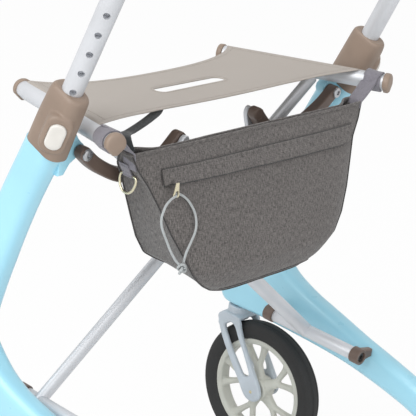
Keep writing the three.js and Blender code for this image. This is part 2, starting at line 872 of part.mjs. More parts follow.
// The rear tube carries a welded spacer that keeps the two tubes apart at their pivot.
const spacerEnd = tubeAY - ovalHalfY - gap;
const crossB = crossTube(tubeBY, linkLeftY, sleeveRight)
  .add(rodY(0, tubeBY, spacerEnd, pivotZ, spacerRadius, hubSides))
  .subtract(rodY(0, tubeBY - tubeAY, spacerEnd + reach, pivotZ, pivotBoltRadius + gap, hubSides));
addNode("cross_tube_b", crossB.mirror([1, 0, 0]), colours.aluminium, metal);

addPair("hinge_sleeve", (side) => {
  const { rear, front } = bushSpan(side);
  const outer = rodY(hingeX, rear, front, hingeZ, sleeveRadius, sleeveSides);
  return outer.subtract(rodY(hingeX, rear - reach, front + reach, hingeZ, hingeBoltRadius + gap, hubSides));
}, colours.aluminium, metal);

function hingeBush(side, way) {
  const [start, end] = bushEnds(side, way);
  let solid = rodY(hingeX, start, end, hingeZ, bushRadius, sleeveSides);
  solid = solid.add(bushArm(side, way, 0));
  solid = solid.subtract(rodY(hingeX, start - reach, end + reach, hingeZ, hingeBoltRadius + gap, hubSides));
  const recess = way > 0 ? [end - bushRecessDepth, end + reach] : [start - reach, start + bushRecessDepth];
  return solid.subtract(rodY(hingeX, recess[0], recess[1], hingeZ, bushRecessRadius, hubSides));
}

addPair("hinge_bush_rear", (side) => hingeBush(side, -1), colours.darkTaupe, plastic);
addPair("hinge_bush_front", (side) => hingeBush(side, 1), colours.darkTaupe, plastic);

addPair("hinge_bolt", (side) => {
  const { rear, front } = bushSpan(side);
  const outerRear = rear - gap - bushLength + bushRecessDepth - gap;
  const outerFront = front + gap + bushLength - bushRecessDepth + gap;
  const shank = rodY(hingeX, outerRear - reach, outerFront + reach, hingeZ, hingeBoltRadius, hubSides);
  return shank
    .add(rodY(hingeX, outerRear - boltHeadLength, outerRear, hingeZ, boltHeadRadius, headSides))
    .add(rodY(hingeX, outerFront, outerFront + boltHeadLength, hingeZ, boltHeadRadius, headSides));
}, colours.steel, metal);

const pivotRear = tubeBY - ovalHalfY - gap;
const pivotFront = tubeAY + ovalHalfY + gap;
addNode("cross_pivot_bolt", rodY(0, pivotRear - reach, pivotFront + reach, pivotZ, pivotBoltRadius, hubSides)
  .add(rodY(0, pivotRear - pivotHeadLength, pivotRear, pivotZ, pivotHeadRadius, hubSides))
  .add(rodY(0, pivotFront, pivotFront + pivotHeadLength, pivotZ, pivotHeadRadius, headSides)),
colours.steel, metal);

// Outline of a bar of even width along a middle line, with round ends.
function barOutline(line, half, steps) {
  const outer = [];
  const inner = [];
  const points = line.map(([x, z]) => new THREE.Vector2(x, z));
  for (let i = 0; i < points.length; i += 1) {
    const before = points[Math.max(i - 1, 0)];
    const after = points[Math.min(i + 1, points.length - 1)];
    const way = after.clone().sub(before).normalize();
    const square = new THREE.Vector2(-way.y, way.x).multiplyScalar(half);
    outer.push(points[i].clone().add(square));
    inner.push(points[i].clone().sub(square));
  }
  const round = (centre, from) => Array.from({ length: steps - 1 }, (_, i) => {
    const arm = from.clone().sub(centre);
    return arm.rotateAround(new THREE.Vector2(), -Math.PI * (i + 1) / steps).add(centre);
  });
  const last = points.length - 1;
  return [
    ...outer,
    ...round(points[last], outer[last]),
    ...inner.reverse(),
    ...round(points[0], inner[last]),
  ].map((point) => [point.x, point.y]);
}

addPair("link", (side) => {
  const [rear, front] = linkSpan(side);
  const boss = side === "right"
    ? [rear - linkBossLength, rear + reach]
    : [front - reach, front + linkBossLength];
  return solidOf(plateY(barOutline(linkLine, linkHalfWidth, barEndSteps), rear, front))
    .add(rodY(linkInner[0], boss[0], boss[1], linkInner[1], linkBossRadius, hubSides))
    .subtract(rodY(
      linkOuter[0], rear - reach, front + reach, linkOuter[1], linkPinRadius + gap, hubSides,
    ));
}, colours.darkTaupe, plastic);

addPair("link_pin", (side) => {
  const [rear, front] = linkSpan(side);
  const face = rear - gap;
  const [x, z] = linkOuter;
  return rodY(x, face - reach, front + lugLength - reach * 2, z, linkPinRadius, hubSides)
    .add(rodY(x, face - linkPinHeadLength, face, z, linkPinHeadRadius, hubSides));
}, colours.steel, metal);

addPair("caster_fork", () => {
  const inner = forkInnerHalf;
  const outer = forkInnerHalf + forkPlate;
  const near = solidOf(plateX(forkOutline, frameX - outer, frameX - inner));
  const far = solidOf(plateX(forkOutline, frameX + inner, frameX + outer));
  const slot = solidOf(plateX(forkSlot, frameX - outer - reach, frameX + outer + reach));
  const crownHalf = outer - gap;
  let crown = block(
    frameX - crownHalf, frameX + crownHalf, crownRearY, crownFrontY, crownBottom, crownTop,
  );
  crown = crown.subtract(rodX(
    frameX - inner, frameX + inner, frontAxleY, axleHeight, forkWheelClear, wheelSides * reach,
  ));
  crown = crown.add(rodZ(frameX, steerY, crownTop - reach, bearingTop, bearingRadius, sleeveSides));
  crown = crown.add(rodZ(frameX, steerY, crownTop, stemTop, stemRadius, hubSides));
  let solid = near.add(far).subtract(slot).add(crown);
  solid = solid.subtract(rodX(
    frameX - outer - reach, frameX + outer + reach, frontAxleY, axleHeight, boltRadius + gap, hubSides,
  ));
  return solid;
}, colours.fork, plastic);

addPair("front_axle", () => {
  const outer = forkInnerHalf + forkPlate + gap;
  const [near, far] = [frameX - outer, frameX + outer];
  return rodX(near - reach, far + reach, frontAxleY, axleHeight, boltRadius, hubSides)
    .add(rodX(near - axleHeadLength, near, frontAxleY, axleHeight, axleHeadRadius, hubSides))
    .add(rodX(far, far + axleHeadLength, frontAxleY, axleHeight, axleHeadRadius, hubSides));
}, colours.steel, metal);

// Wheel pieces are turned about Z, then laid over so that the axle runs along X.
function wheelPlace(solid, x, y) {
  const placing = new THREE.Matrix4().makeRotationY(Math.PI / 2).setPosition(x, y, axleHeight);
  return solid.transform(placing.toArray());
}

function tyre(x, y) {
  const flat = 1 / Math.cos(Math.PI / wheelSides);
  const profile = tyreProfile.map(([r, z]) => [r === tyreInnerRadius ? r : r * flat, z]);
  return wheelPlace(solidOf(turned(profile, wheelSides, Math.PI / wheelSides)), x, y);
}

function rim(x, y, boreRadius) {
  const ring = [
    [rimInnerRadius, -rimHalfWidth], [tyreInnerRadius - gap, -rimHalfWidth],
    [tyreInnerRadius - gap, rimHalfWidth], [rimInnerRadius, rimHalfWidth],
  ];
  let solid = solidOf(turned(ring, wheelSides, Math.PI / wheelSides));
  solid = solid.add(rodZ(0, 0, -hubHalfWidth, hubHalfWidth, hubRadius, hubSides));
  const tipX = (rimInnerRadius + reach) * Math.sin(branchSpread);
  const tipY = (rimInnerRadius + reach) * Math.cos(branchSpread) - branchRadius;
  const branchLength = Math.hypot(tipX, tipY);
  const branchTurn = Math.atan2(tipX, tipY);
  const stemStart = hubRadius - reach;
  for (let i = 0; i < spokeCount; i += 1) {
    const turn = i * Math.PI * 2 / spokeCount;
    const stem = new THREE.BoxGeometry(
      stemHalfWidth * 2, branchRadius - stemStart, spokeHalfThickness * 2,
    );
    stem.translate(0, (branchRadius + stemStart) / 2, 0).rotateZ(turn);
    solid = solid.add(solidOf(stem));
    for (const side of [-branchTurn, branchTurn]) {
      const branch = new THREE.BoxGeometry(
        spokeHalfWidth * 2, branchLength, spokeHalfThickness * 2,
      );
      branch.translate(0, branchLength / 2, 0).rotateZ(side);
      branch.translate(0, branchRadius, 0).rotateZ(turn);
      solid = solid.add(solidOf(branch));
    }
  }
  solid = solid.subtract(rodZ(0, 0, -hubHalfWidth - reach, hubHalfWidth + reach, boreRadius, hubSides));
  return wheelPlace(solid, x, y);
}

addPair("front_tyre", () => tyre(frontWheelX, frontAxleY), colours.tyre, soft);
addPair("front_rim", () => rim(frontWheelX, frontAxleY, boltRadius + gap), colours.hub, plastic);
addPair("rear_tyre", () => tyre(rearWheelX, rearAxleY), colours.tyre, soft);
addPair("rear_rim", () => rim(rearWheelX, rearAxleY, rearAxleRadius + gap), colours.hub, plastic);

addPair("rear_axle", () => {
  const collarX = rearWheelX - hubHalfWidth - gap;
  const legDepth = frameHalfDepth * 2 * lookUp(depthShares, rearAxleY);
  const collarInner = beamInnerX(rearAxleY) + legDepth + gap * 3;
  const heads = [
    [rearAxleInnerX - axleHeadLength, rearAxleInnerX + gap],
    [collarInner, collarX],
    [rearWheelX + hubHalfWidth + gap, rearAxleOuterX],
  ];
  let solid = rodX(rearAxleInnerX, rearAxleOuterX, rearAxleY, axleHeight, rearAxleRadius, hubSides);
  for (const [from, to] of heads) {
    solid = solid.add(rodX(from, to, rearAxleY, axleHeight, axleHeadRadius, hubSides));
  }
  return solid;
}, colours.steel, metal);

addPair("brake_shoe", () => {
  const pad = solidOf(plateX(shoeOutline, shoeInnerX, shoeOuterX, smallBevel, smallBevelSteps));
  return pad.add(rodX(shoePinInnerX, shoeOuterX - reach, shoePivotY, shoePivotZ, shoePinRadius, hubSides));
}, colours.darkTaupe, plastic);

// Seat cloth: a slack sheet between the rails and a sleeve round each rail.
function seatSheet() {
  const skins = [[], []];
  const wrap = clothWrapGap + clothThickness;
  for (let r = 0; r <= seatRows; r += 1) {
    for (let c = 0; c <= seatColumns; c += 1) {
      const u = (c / seatColumns) * 2 - 1;
      const slack = 1 - Math.abs(u) ** seatEdgePower;
      const rearY = seatRearY + seatRearDip * slack;
      const frontY = seatFrontY - seatFrontDip * slack;
      const y = THREE.MathUtils.lerp(rearY, frontY, r / seatRows);
      const rail = railPoint((y - railRear.y) / railWay.y);
      const top = rail.z + railHalfWidth + railArcHeight + wrap - seatSag * (1 - u * u);
      skins[0].push([u * rail.x, y, top - clothThickness]);
      skins[1].push([u * rail.x, y, top]);
    }
  }
  return gridSolid(skins, seatRows, seatColumns);
}

// Closes a lower and an upper grid into one thin solid.
function gridSolid(skins, rows, columns) {
  const position = skins.flat(2);
  const width = columns + 1;
  const layer = (rows + 1) * width;
  const index = [];
  const quad = (a, b, c, d) => index.push(a, b, c, a, c, d);
  for (let r = 0; r < rows; r += 1) {
    for (let c = 0; c < columns; c += 1) {
      const a = r * width + c;
      quad(a, a + width, a + width + 1, a + 1);
      quad(a + layer, a + layer + 1, a + layer + width + 1, a + layer + width);
    }
  }
  for (let c = 0; c < columns; c += 1) {
    const last = rows * width + c;
    quad(c, c + 1, c + 1 + layer, c + layer);
    quad(last, last + layer, last + layer + 1, last + 1);
  }
  for (let r = 0; r < rows; r += 1) {
    const a = r * width;
    const b = a + columns;
    quad(a, a + layer, a + layer + width, a + width);
    quad(b, b + width, b + width + layer, b + layer);
  }
  const geometry = new THREE.BufferGeometry();
  geometry.setAttribute("position", new THREE.Float32BufferAttribute(position, 3));
  geometry.setIndex(index);
  return solidOf(geometry);
}

let seat = seatSheet();
const slotEdge = roundedRectangle(slotHalfLength, slotHalfWidth, slotHalfWidth, slotEndSteps)
  .map(([x, y]) => [x, y + slotY]);
const slotCut = extruded(slotEdge, slotCutDepth).translate(0, 0, railFront.z - slotCutDepth / 2);
seat = seat.subtract(solidOf(slotCut));
for (const side of ["left", "right"]) {
  const sleeve = railBar(clothWrapGap + clothThickness, wrapStart, railLength - wrapEndMargin)
    .subtract(railBar(clothWrapGap, wrapStart - reach, railLength + reach));
  const tube = side === "right" ? crossRod(tubeAY, gap) : crossRod(tubeBY, gap);
  const cut = sleeve.subtract(tube);
  seat = seat.add(side === "left" ? cut.mirror([1, 0, 0]) : cut);
}
addNode("seat_cloth", seat, colours.cloth, soft);

// Section of the bag, with a front face that swells forward at both sides of its middle.
function bagSection(half, rear, middle, side, shrink) {
  const cut = Math.min(bagCorner, (side - rear) * bagCornerShare);
  const right = [
    [half - cut, rear], [half, rear + cut], [half, side - cut], [half - bagSideFlat, side],
    [half - bagSideRamp, middle],
  ].map(([x, y]) => [x - shrink, y + Math.sign((rear + middle) / 2 - y) * shrink]);
  return [...right, ...right.map(([x, y]) => [-x, y]).reverse()];
}

function bagShell(shrink, lift) {
  const last = bagRings.length - 1;
  const rings = bagRings.map(([z, half, rear, middle, side], i) => {
    const height = i === 0 ? z + shrink : z + (i === last ? lift : 0);
    return bagSection(half, rear, middle, side, shrink)
      .map(([x, y]) => new THREE.Vector3(x, y, height));
  });
  return lofted(rings);
}
addNode("bag_body", bagShell(0, 0).subtract(bagShell(bagWall, reach)), colours.bag, soft);

function bagStrap() {
  const band = railBar(gap + strapThickness, strapStart, strapStart + strapLength)
    .subtract(railBar(gap, strapStart - reach, strapStart + strapLength + reach));
  const tail = solidOf(plateY(strapTail, strapPlateY[0], strapPlateY[1]))
    .subtract(railBar(gap, 0, railLength));
  const slot = [ringBar[0] - gap, ringBar[1] + gap, ringY[0] - gap, ringY[1] + gap];
  const tab = block(...tabX, ...tabY, ...tabZ)
    .subtract(block(...slot, tabZ[0] - reach, tabZ[1] + reach));
  return band.add(tail).add(tab);
}
addPair("bag_strap", bagStrap, colours.strap, soft);

addPair("bag_ring", () => solidOf(plateY(ringOuter, ringY[0], ringY[1]))
  .subtract(solidOf(plateY(ringInner, ringY[0] - reach, ringY[1] + reach))), colours.brass, metal);

const slider = block(
  sliderX - sliderHalfX, sliderX + sliderHalfX,
  pullY[0], sliderFaceY,
  sliderZ - sliderHalfZ, sliderZ + sliderHalfZ,
);
const pull = solidOf(plateY(pullOutline, pullY[0], pullY[1]))
  .subtract(solidOf(plateY(pullHole, pullY[0] - reach, pullY[1] + reach)));
addNode("zip_slider", slider.add(pull), colours.brass, metal);

const cordCurve = new THREE.CatmullRomCurve3(cordLoop.map(([x, y, z]) => new THREE.Vector3(x, y, z)));
// Even steps between the listed points keep the tight turn in the hole round.
cordCurve.getPointAt = (share) => cordCurve.getPoint(share);
cordCurve.getTangentAt = (share) => cordCurve.getTangent(share);
const cordGeometry = new THREE.ExtrudeGeometry(shapeOf(circle(cordRadius, cordSides)), {
  steps: cordSteps,
  bevelEnabled: false,
  extrudePath: cordCurve,
});
const knot = new THREE.SphereGeometry(knotRadius, knotSides, knotRings).translate(...knotCentre);
addNode("pull_cord", solidOf(cordGeometry).add(solidOf(knot)), colours.cord, soft);

function webbingStrip() {
  const skins = [[], []];
  for (let i = 0; i < webbing.length; i += 1) {
    const here = new THREE.Vector3(...webbing[i]);
    const before = new THREE.Vector3(...webbing[Math.max(i - 1, 0)]);
    const after = new THREE.Vector3(...webbing[Math.min(i + 1, webbing.length - 1)]);
    const across = after.sub(before).cross(upward).normalize().multiplyScalar(webbingHalfWidth);
    for (const sign of [-1, 1]) {
      const edge = here.clone().addScaledVector(across, sign);
      skins[0].push([edge.x, edge.y, edge.z - webbingThickness / 2]);
      skins[1].push([edge.x, edge.y, edge.z + webbingThickness / 2]);
    }
  }
  return gridSolid(skins, webbing.length - 1, 1);
}
addNode("seat_webbing", webbingStrip(), colours.webbing, soft);

export default group;
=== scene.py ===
# %% [markdown]
# # A folding rollator
# A walking aid on four wheels, with a slung fabric seat, a scissor cross under it and a bag.
# Every piece is drawn in millimetres and turned into metres when it is finished.
# X runs to the right of someone who walks behind it, Y runs forward, Z runs up.

# %% Load the frame
import json
import math

import bmesh
import bpy
from mathutils import Matrix, Vector, noise

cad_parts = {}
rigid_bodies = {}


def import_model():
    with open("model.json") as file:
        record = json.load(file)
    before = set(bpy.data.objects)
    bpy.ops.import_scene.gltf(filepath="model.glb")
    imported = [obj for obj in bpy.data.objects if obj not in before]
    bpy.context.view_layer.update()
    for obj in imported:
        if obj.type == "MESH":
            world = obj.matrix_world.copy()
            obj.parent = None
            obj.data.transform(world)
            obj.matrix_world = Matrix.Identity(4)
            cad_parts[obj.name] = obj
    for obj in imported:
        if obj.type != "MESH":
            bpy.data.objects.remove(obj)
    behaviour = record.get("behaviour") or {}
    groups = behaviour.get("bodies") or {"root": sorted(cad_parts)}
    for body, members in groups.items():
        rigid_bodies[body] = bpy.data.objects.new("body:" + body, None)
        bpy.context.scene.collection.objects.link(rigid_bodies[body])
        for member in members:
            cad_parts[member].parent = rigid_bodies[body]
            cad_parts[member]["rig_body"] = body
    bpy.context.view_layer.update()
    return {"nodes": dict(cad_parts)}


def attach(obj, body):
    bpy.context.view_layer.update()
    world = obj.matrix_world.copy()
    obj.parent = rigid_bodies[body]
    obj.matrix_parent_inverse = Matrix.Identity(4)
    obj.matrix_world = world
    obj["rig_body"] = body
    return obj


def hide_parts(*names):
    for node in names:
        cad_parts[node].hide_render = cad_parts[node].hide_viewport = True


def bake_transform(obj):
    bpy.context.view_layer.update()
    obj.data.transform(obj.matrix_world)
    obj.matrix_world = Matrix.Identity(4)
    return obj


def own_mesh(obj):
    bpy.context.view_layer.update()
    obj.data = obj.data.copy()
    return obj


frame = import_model()
nodes = frame["nodes"]
scene = bpy.context.scene
MM = 0.001
print("loaded", len(nodes), "solids")

# %% [markdown]
# ## Camera
# The photograph was taken from behind the left rear wheel, from above the seat, with a long
# lens that keeps the rails almost parallel. Two directions, the picture's right and its top, say
# how the camera is turned; the third is square to both.

# %% Place the camera
camera_data = bpy.data.cameras.new("camera")
camera_data.lens = 144.7
camera_data.sensor_width = 36
camera = bpy.data.objects.new("camera", camera_data)
scene.collection.objects.link(camera)
to_right = Vector((0.6601, -0.7381, 0.1393))
to_top = Vector((0.1853, 0.3398, 0.9221))
turn = Matrix((to_right, to_top, to_right.cross(to_top))).transposed().to_4x4()
camera.matrix_world = Matrix.Translation((-1.4883, -1.0384, 1.1983)) @ turn
scene.camera = camera
scene.view_settings.view_transform = "Standard"
print("camera at", tuple(camera.location))

# %% [markdown]
# ## Curves
# Most shapes here follow a few measured points. A Catmull-Rom curve runs through all of them
# without a corner, so an outline can be written down with few numbers and still be smooth.
# Two more helpers space the points of a curve evenly and read a table between its rows.


# %% Curve through points
def between(value, low=0, high=1):
    return min(max(value, low), high)


def ease(share):
    return share * share * (3 - 2 * share)


def smooth_line(points, steps, closed=False):
    points = [Vector(p) for p in points]
    count = len(points)
    line = []
    for i in range(count if closed else count - 1):
        near = [i - 1, i, i + 1, i + 2]
        if closed:
            a, b, c, d = (points[k % count] for k in near)
        else:
            a, b, c, d = (points[between(k, 0, count - 1)] for k in near)
        for step in range(steps):
            t = step / steps
            bend = (2 * a - 5 * b + 4 * c - d) * t * t + (3 * b - a - 3 * c + d) * t**3
            line.append((2 * b + (c - a) * t + bend) / 2)
    if not closed:
        line.append(points[-1])
    return line


def length_of(line):
    return sum((b - a).length for a, b in zip(line, line[1:]))


def even_line(line, count):
    lengths = [0.0]
    for a, b in zip(line, line[1:]):
        lengths.append(lengths[-1] + (b - a).length)
    spaced = []
    at = 0
    for i in range(count):
        wanted = lengths[-1] * i / (count - 1)
        while at < len(line) - 2 and lengths[at + 1] < wanted:
            at += 1
        span = lengths[at + 1] - lengths[at]
        spaced.append(line[at].lerp(line[at + 1], (wanted - lengths[at]) / max(span, 1e-9)))
    return spaced


def lookup(table, value):
    value = between(value, table[0][0], table[-1][0])
    for low, high in zip(table, table[1:]):
        if value <= high[0]:
            share = (value - low[0]) / (high[0] - low[0])
            return [a + (b - a) * share for a, b in zip(low[1:], high[1:])]
    return list(table[-1][1:])


print("a smooth square has", len(smooth_line([(0, 0), (1, 0), (1, 1), (0, 1)], 4, True)), "points")

# %% [markdown]
# ## Skins
# A tube, a moulded leg or a bag is one ring of edges that is pulled from place to place. Each
# pull extrudes the edges and moves the new points, so the order of the points never changes.
# The same helper writes a UV map in metres: the weave of a cloth and the grain of a drawn
# tube need to know which way they run along the surface.


# %% Pull a ring along
def pull_skin(bm, rings, caps=True, join=False):
    chart = bm.loops.layers.uv.verify()
    verts = [bm.verts.new(p) for p in rings[0]]
    edges = [bm.edges.new(pair) for pair in zip(verts, verts[1:] + verts[:1])]
    ends = [verts]
    spots = {}
    along = 0.0
    girths = {}
    for number, ring in enumerate(rings):
        if number:
            made = bmesh.ops.extrude_edge_only(bm, edges=edges)["geom"]
            fresh = {g for g in made if isinstance(g, bmesh.types.BMVert)}
            after = []
            for vert, place in zip(verts, ring):
                twin = next(e.other_vert(vert) for e in vert.link_edges if e.other_vert(vert) in fresh)
                twin.co = place
                after.append(twin)
            verts = after
            lines = [g for g in made if isinstance(g, bmesh.types.BMEdge)]
            edges = [e for e in lines if e.verts[0] in fresh and e.verts[1] in fresh]
            along += (Vector(ring[0]) - Vector(rings[number - 1][0])).length
        walk = [0.0]
        for a, b in zip(ring, list(ring[1:]) + [ring[0]]):
            walk.append(walk[-1] + (Vector(b) - Vector(a)).length)
        half = len(ring) // 2
        for i, vert in enumerate(verts):
            spots[vert] = (walk[i] - (walk[-1] if i > half else 0), along, walk[-1])
    ends.append(verts)
    for vert in list(spots):
        for face in vert.link_faces:
            girths[face] = spots[vert][2]
    for face, girth in girths.items():
        across = [spots[loop.vert][0] for loop in face.loops if loop.vert in spots]
        wraps = max(across) - min(across) > girth / 2
        for loop in face.loops:
            u, v, _ = spots[loop.vert]
            if wraps and u < 0:
                u += girth
            loop[chart].uv = (u * MM, v * MM)
    if join:
        bmesh.ops.bridge_loops(bm, edges=ring_edges(ends[0]) + ring_edges(ends[1]))
    elif caps:
        for end in ends:
            bm.faces.new(end)
    return bm


def ring_edges(verts):
    found = []
    for a, b in zip(verts, verts[1:] + verts[:1]):
        found += [e for e in a.link_edges if e.other_vert(a) == b]
    return found


def rounded_box(half_a, half_b, corner, steps):
    outline = []
    for quarter, (sa, sb) in enumerate([(1, 1), (-1, 1), (-1, -1), (1, -1)]):
        for step in range(steps + 1):
            angle = (quarter + step / steps) * math.pi / 2
            a = sa * (half_a - corner) + math.cos(angle) * corner
            outline.append((a, sb * (half_b - corner) + math.sin(angle) * corner))
    return outline


def circle(radius, sides):
    angles = [2 * math.pi * i / sides for i in range(sides)]
    return [(math.cos(a) * radius, math.sin(a) * radius) for a in angles]


def placed(outline, centre, across, up):
    return [Vector(centre) + Vector(across) * a + Vector(up) * b for a, b in outline]


def tube(bm, line, radii, sides=24, side=(0, 0, 1), flat=1.0):
    line = [Vector(p) for p in line]
    if not hasattr(radii, "__len__"):
        radii = [radii] * len(line)
    rings = []
    up = Vector(side)
    for i, point in enumerate(line):
        way = (line[min(i + 1, len(line) - 1)] - line[max(i - 1, 0)]).normalized()
        up = (up - way * up.dot(way)).normalized()
        across = up.cross(way)
        shape = [(a, b * flat) for a, b in circle(radii[i], sides)]
        rings.append(placed(shape, point, across, up))
    return pull_skin(bm, rings)


print("a ring of 8 has", len(circle(1, 8)), "points")

# %% [markdown]
# ## Plates and turned pieces
# A moulded arm or bracket is an outline that is given a thickness and soft edges. A pin or a
# wheel is half a section that is spun round its axle, the way a lathe would cut it.


# %% Plates and lathe work
def plate(bm, outline, axis, low, high, bevel=0.0, segments=3):
    if axis == "X":
        corners = [Vector((low, a, b)) for a, b in outline]
        push = Vector((high - low, 0, 0))
    else:
        corners = [Vector((a, low, b)) for a, b in outline]
        push = Vector((0, high - low, 0))
    verts = [bm.verts.new(p) for p in corners]
    face = bm.faces.new(verts)
    grown = bmesh.ops.extrude_face_region(bm, geom=[face])["geom"]
    moved = [g for g in grown if isinstance(g, bmesh.types.BMVert)]
    bmesh.ops.translate(bm, vec=push, verts=moved)
    if bevel:
        rim = ring_edges(verts) + [
            g for g in grown if isinstance(g, bmesh.types.BMEdge) and all(v in moved for v in g.verts)
        ]
        bmesh.ops.bevel(
            bm, geom=rim, offset=bevel, segments=segments, profile=0.5, affect="EDGES",
            clamp_overlap=True, material=-1,
        )
    return bm


def turned(bm, profile, axis, centre, sides=40):
    way = {"X": Vector((1, 0, 0)), "Y": Vector((0, 1, 0)), "Z": Vector((0, 0, 1))}[axis]
    out = Vector((0, 0, 1)) if axis != "Z" else Vector((1, 0, 0))
    centre = Vector(centre)
    verts = [bm.verts.new(centre + way * t + out * r) for r, t in profile]
    edges = [bm.edges.new(pair) for pair in zip(verts, verts[1:])]
    bmesh.ops.spin(
        bm, geom=verts + edges, cent=centre, axis=way, angle=2 * math.pi, steps=sides,
        use_merge=True, use_duplicate=False,
    )
    bmesh.ops.remove_doubles(bm, verts=bm.verts, dist=0.0005)
    return bm


def bar_outline(line, half, steps):
    outer, inner = [], []
    for i, point in enumerate(line):
        way = (line[min(i + 1, len(line) - 1)] - line[max(i - 1, 0)]).normalized()
        square = Vector((-way.y, way.x)) * half
        outer.append(point + square)
        inner.append(point - square)
    outline = list(outer)
    for middle, start in ((line[-1], outer[-1]), (line[0], inner[0])):
        arm = start - middle
        for step in range(1, steps):
            outline.append(middle + Matrix.Rotation(-math.pi * step / steps, 2) @ arm)
        if middle == line[-1]:
            outline += inner[::-1]
    return outline


def mirror(bm):
    bmesh.ops.scale(bm, vec=(-1, 1, 1), verts=bm.verts)
    return bm


print("a short bar has", len(bar_outline([Vector((0, 0)), Vector((1, 0))], 1, 4)), "corners")

# %% [markdown]
# ## Finishing a piece
# A piece ends as a mesh whose points are in metres and whose object sits at the origin. It
# stands for a solid of the model, moves with the body that solid is on, and is shaded smooth
# except where two faces meet at a hard edge. Most pieces come in pairs. A maker is told its side,
# and where both sides are the same only the right one is made and the left one mirrors it.


# %% Finish, mirror and cut
def chart_rest(bm):
    chart = bm.loops.layers.uv.verify()
    bm.normal_update()
    for face in bm.faces:
        if any(loop[chart].uv.length > 0 for loop in face.loops):
            continue
        axes = sorted(range(3), key=lambda axis: abs(face.normal[axis]))[:2]
        for loop in face.loops:
            loop[chart].uv = [loop.vert.co[axis] * MM for axis in sorted(axes)]


def mesh_of(bm, name, size=MM):
    bmesh.ops.scale(bm, vec=(size, size, size), verts=bm.verts)
    mesh = bpy.data.meshes.new(name)
    bm.to_mesh(mesh)
    bm.free()
    return mesh


def piece(bm, name, material, stands_for=(), body=None, hard=40):
    bmesh.ops.recalc_face_normals(bm, faces=bm.faces)
    chart_rest(bm)
    return dress(mesh_of(bm, name), name, material, stands_for, body, hard)


def dress(mesh, name, material, stands_for=(), body=None, hard=40):
    mesh.materials.clear()
    mesh.materials.append(material)
    obj = bpy.data.objects.new(name, mesh)
    scene.collection.objects.link(obj)
    mesh.polygons.foreach_set("use_smooth", [True] * len(mesh.polygons))
    if hard:
        mesh.set_sharp_from_angle(angle=math.radians(hard))
    if isinstance(stands_for, str):
        stands_for = (stands_for,)
    if stands_for:
        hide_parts(*stands_for)
        body = body or nodes[stands_for[0]]["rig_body"]
    if body:
        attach(obj, body)
    return obj


def settle(obj):
    graph = bpy.context.evaluated_depsgraph_get()
    mesh = bpy.data.meshes.new_from_object(obj.evaluated_get(graph))
    obj.modifiers.clear()
    obj.data = mesh
    return obj


def melt(obj, voxel, rounds):
    remesh = obj.modifiers.new("melt", "REMESH")
    remesh.mode = "VOXEL"
    remesh.voxel_size = voxel * MM
    soften = obj.modifiers.new("soften", "SMOOTH")
    soften.factor = 0.5
    soften.iterations = rounds
    settle(obj)
    obj.data.polygons.foreach_set("use_smooth", [True] * len(obj.data.polygons))
    return obj


def carve(obj, cutter, hard=40):
    bmesh.ops.recalc_face_normals(cutter, faces=cutter.faces)
    tool = bpy.data.objects.new("cutter", mesh_of(cutter, "cutter"))
    scene.collection.objects.link(tool)
    cut = obj.modifiers.new("cut", "BOOLEAN")
    cut.operation = "DIFFERENCE"
    cut.solver = "EXACT"
    cut.object = tool
    settle(obj)
    bpy.data.objects.remove(tool)
    obj.data.set_sharp_from_angle(angle=math.radians(hard))
    return obj


def copy_of(obj, name, change, stands_for, hard=40):
    mesh = obj.data.copy()
    mesh.transform(change)
    if change.determinant() < 0:
        mesh.flip_normals()
    return dress(mesh, name, obj.data.materials[0], stands_for, hard=hard)


def even_normals(obj):
    weigh = obj.modifiers.new("even_normals", "WEIGHTED_NORMAL")
    weigh.keep_sharp = True
    return obj


other_side = Matrix.Diagonal((-1, 1, 1, 1))


def both_sides(stem, make, material, node, after=None, same=True, hard=40):
    pair = []
    for side in ("right", "left"):
        name = f"{stem}_{side}"
        if side == "left" and same:
            obj = copy_of(pair[0], name, other_side, f"{node}_{side}", hard=hard)
        else:
            bm = make(side)
            if side == "left":
                mirror(bm)
            obj = piece(bm, name, material, f"{node}_{side}", hard=hard)
            if after:
                after(obj)
        pair.append(obj)
        print(name, len(obj.data.polygons), "faces")
    return pair


print("helpers ready")

# %% [markdown]
# ## Nodes for the finishes
# Each material is a small net of nodes. These helpers add a node, link two of them, and give
# the three things that almost every finish needs: uneven colour, edges that catch more light
# because they are handled, and a fine bump.


# %% Node helpers
def linear(code):
    shades = [int(code[i : i + 2], 16) / 255 for i in (1, 3, 5)]
    return [s / 12.92 if s <= 0.04045 else ((s + 0.055) / 1.055) ** 2.4 for s in shades] + [1.0]


def shade(code, amount):
    return [min(1.0, c * amount) for c in linear(code)[:3]] + [1.0]


def node(material, kind, **settings):
    made = material.node_tree.nodes.new("ShaderNode" + kind)
    for key, value in settings.items():
        if key in made.inputs:
            made.inputs[key].default_value = value
        else:
            setattr(made, key, value)
    return made


def wire(material, source, target):
    material.node_tree.links.new(source, target)


def new_finish(name, slot, roughness, metallic=0.0, coat=0.0, sheen=0.0, specular=0.5):
    material = bpy.data.materials.new(name)
    material.use_nodes = True
    material["slot"] = slot
    shader = material.node_tree.nodes["Principled BSDF"]
    settings = {
        "Roughness": roughness, "Metallic": metallic, "Coat Weight": coat, "Coat Roughness": 0.12,
        "Sheen Weight": sheen, "Sheen Roughness": 0.5, "Specular IOR Level": specular,
    }
    for key, value in settings.items():
        shader.inputs[key].default_value = value
    return material, shader


def where(material, map_name="Object", scale=(1, 1, 1)):
    coordinates = node(material, "TexCoord")
    mapping = node(material, "Mapping", Scale=scale)
    wire(material, coordinates.outputs[map_name], mapping.inputs["Vector"])
    return mapping.outputs["Vector"]


def cloudy(material, place, scale, detail=3.0, rough=0.5):
    made = node(material, "TexNoise", Scale=scale, Detail=detail, Roughness=rough)
    wire(material, place, made.inputs["Vector"])
    return made.outputs[0]


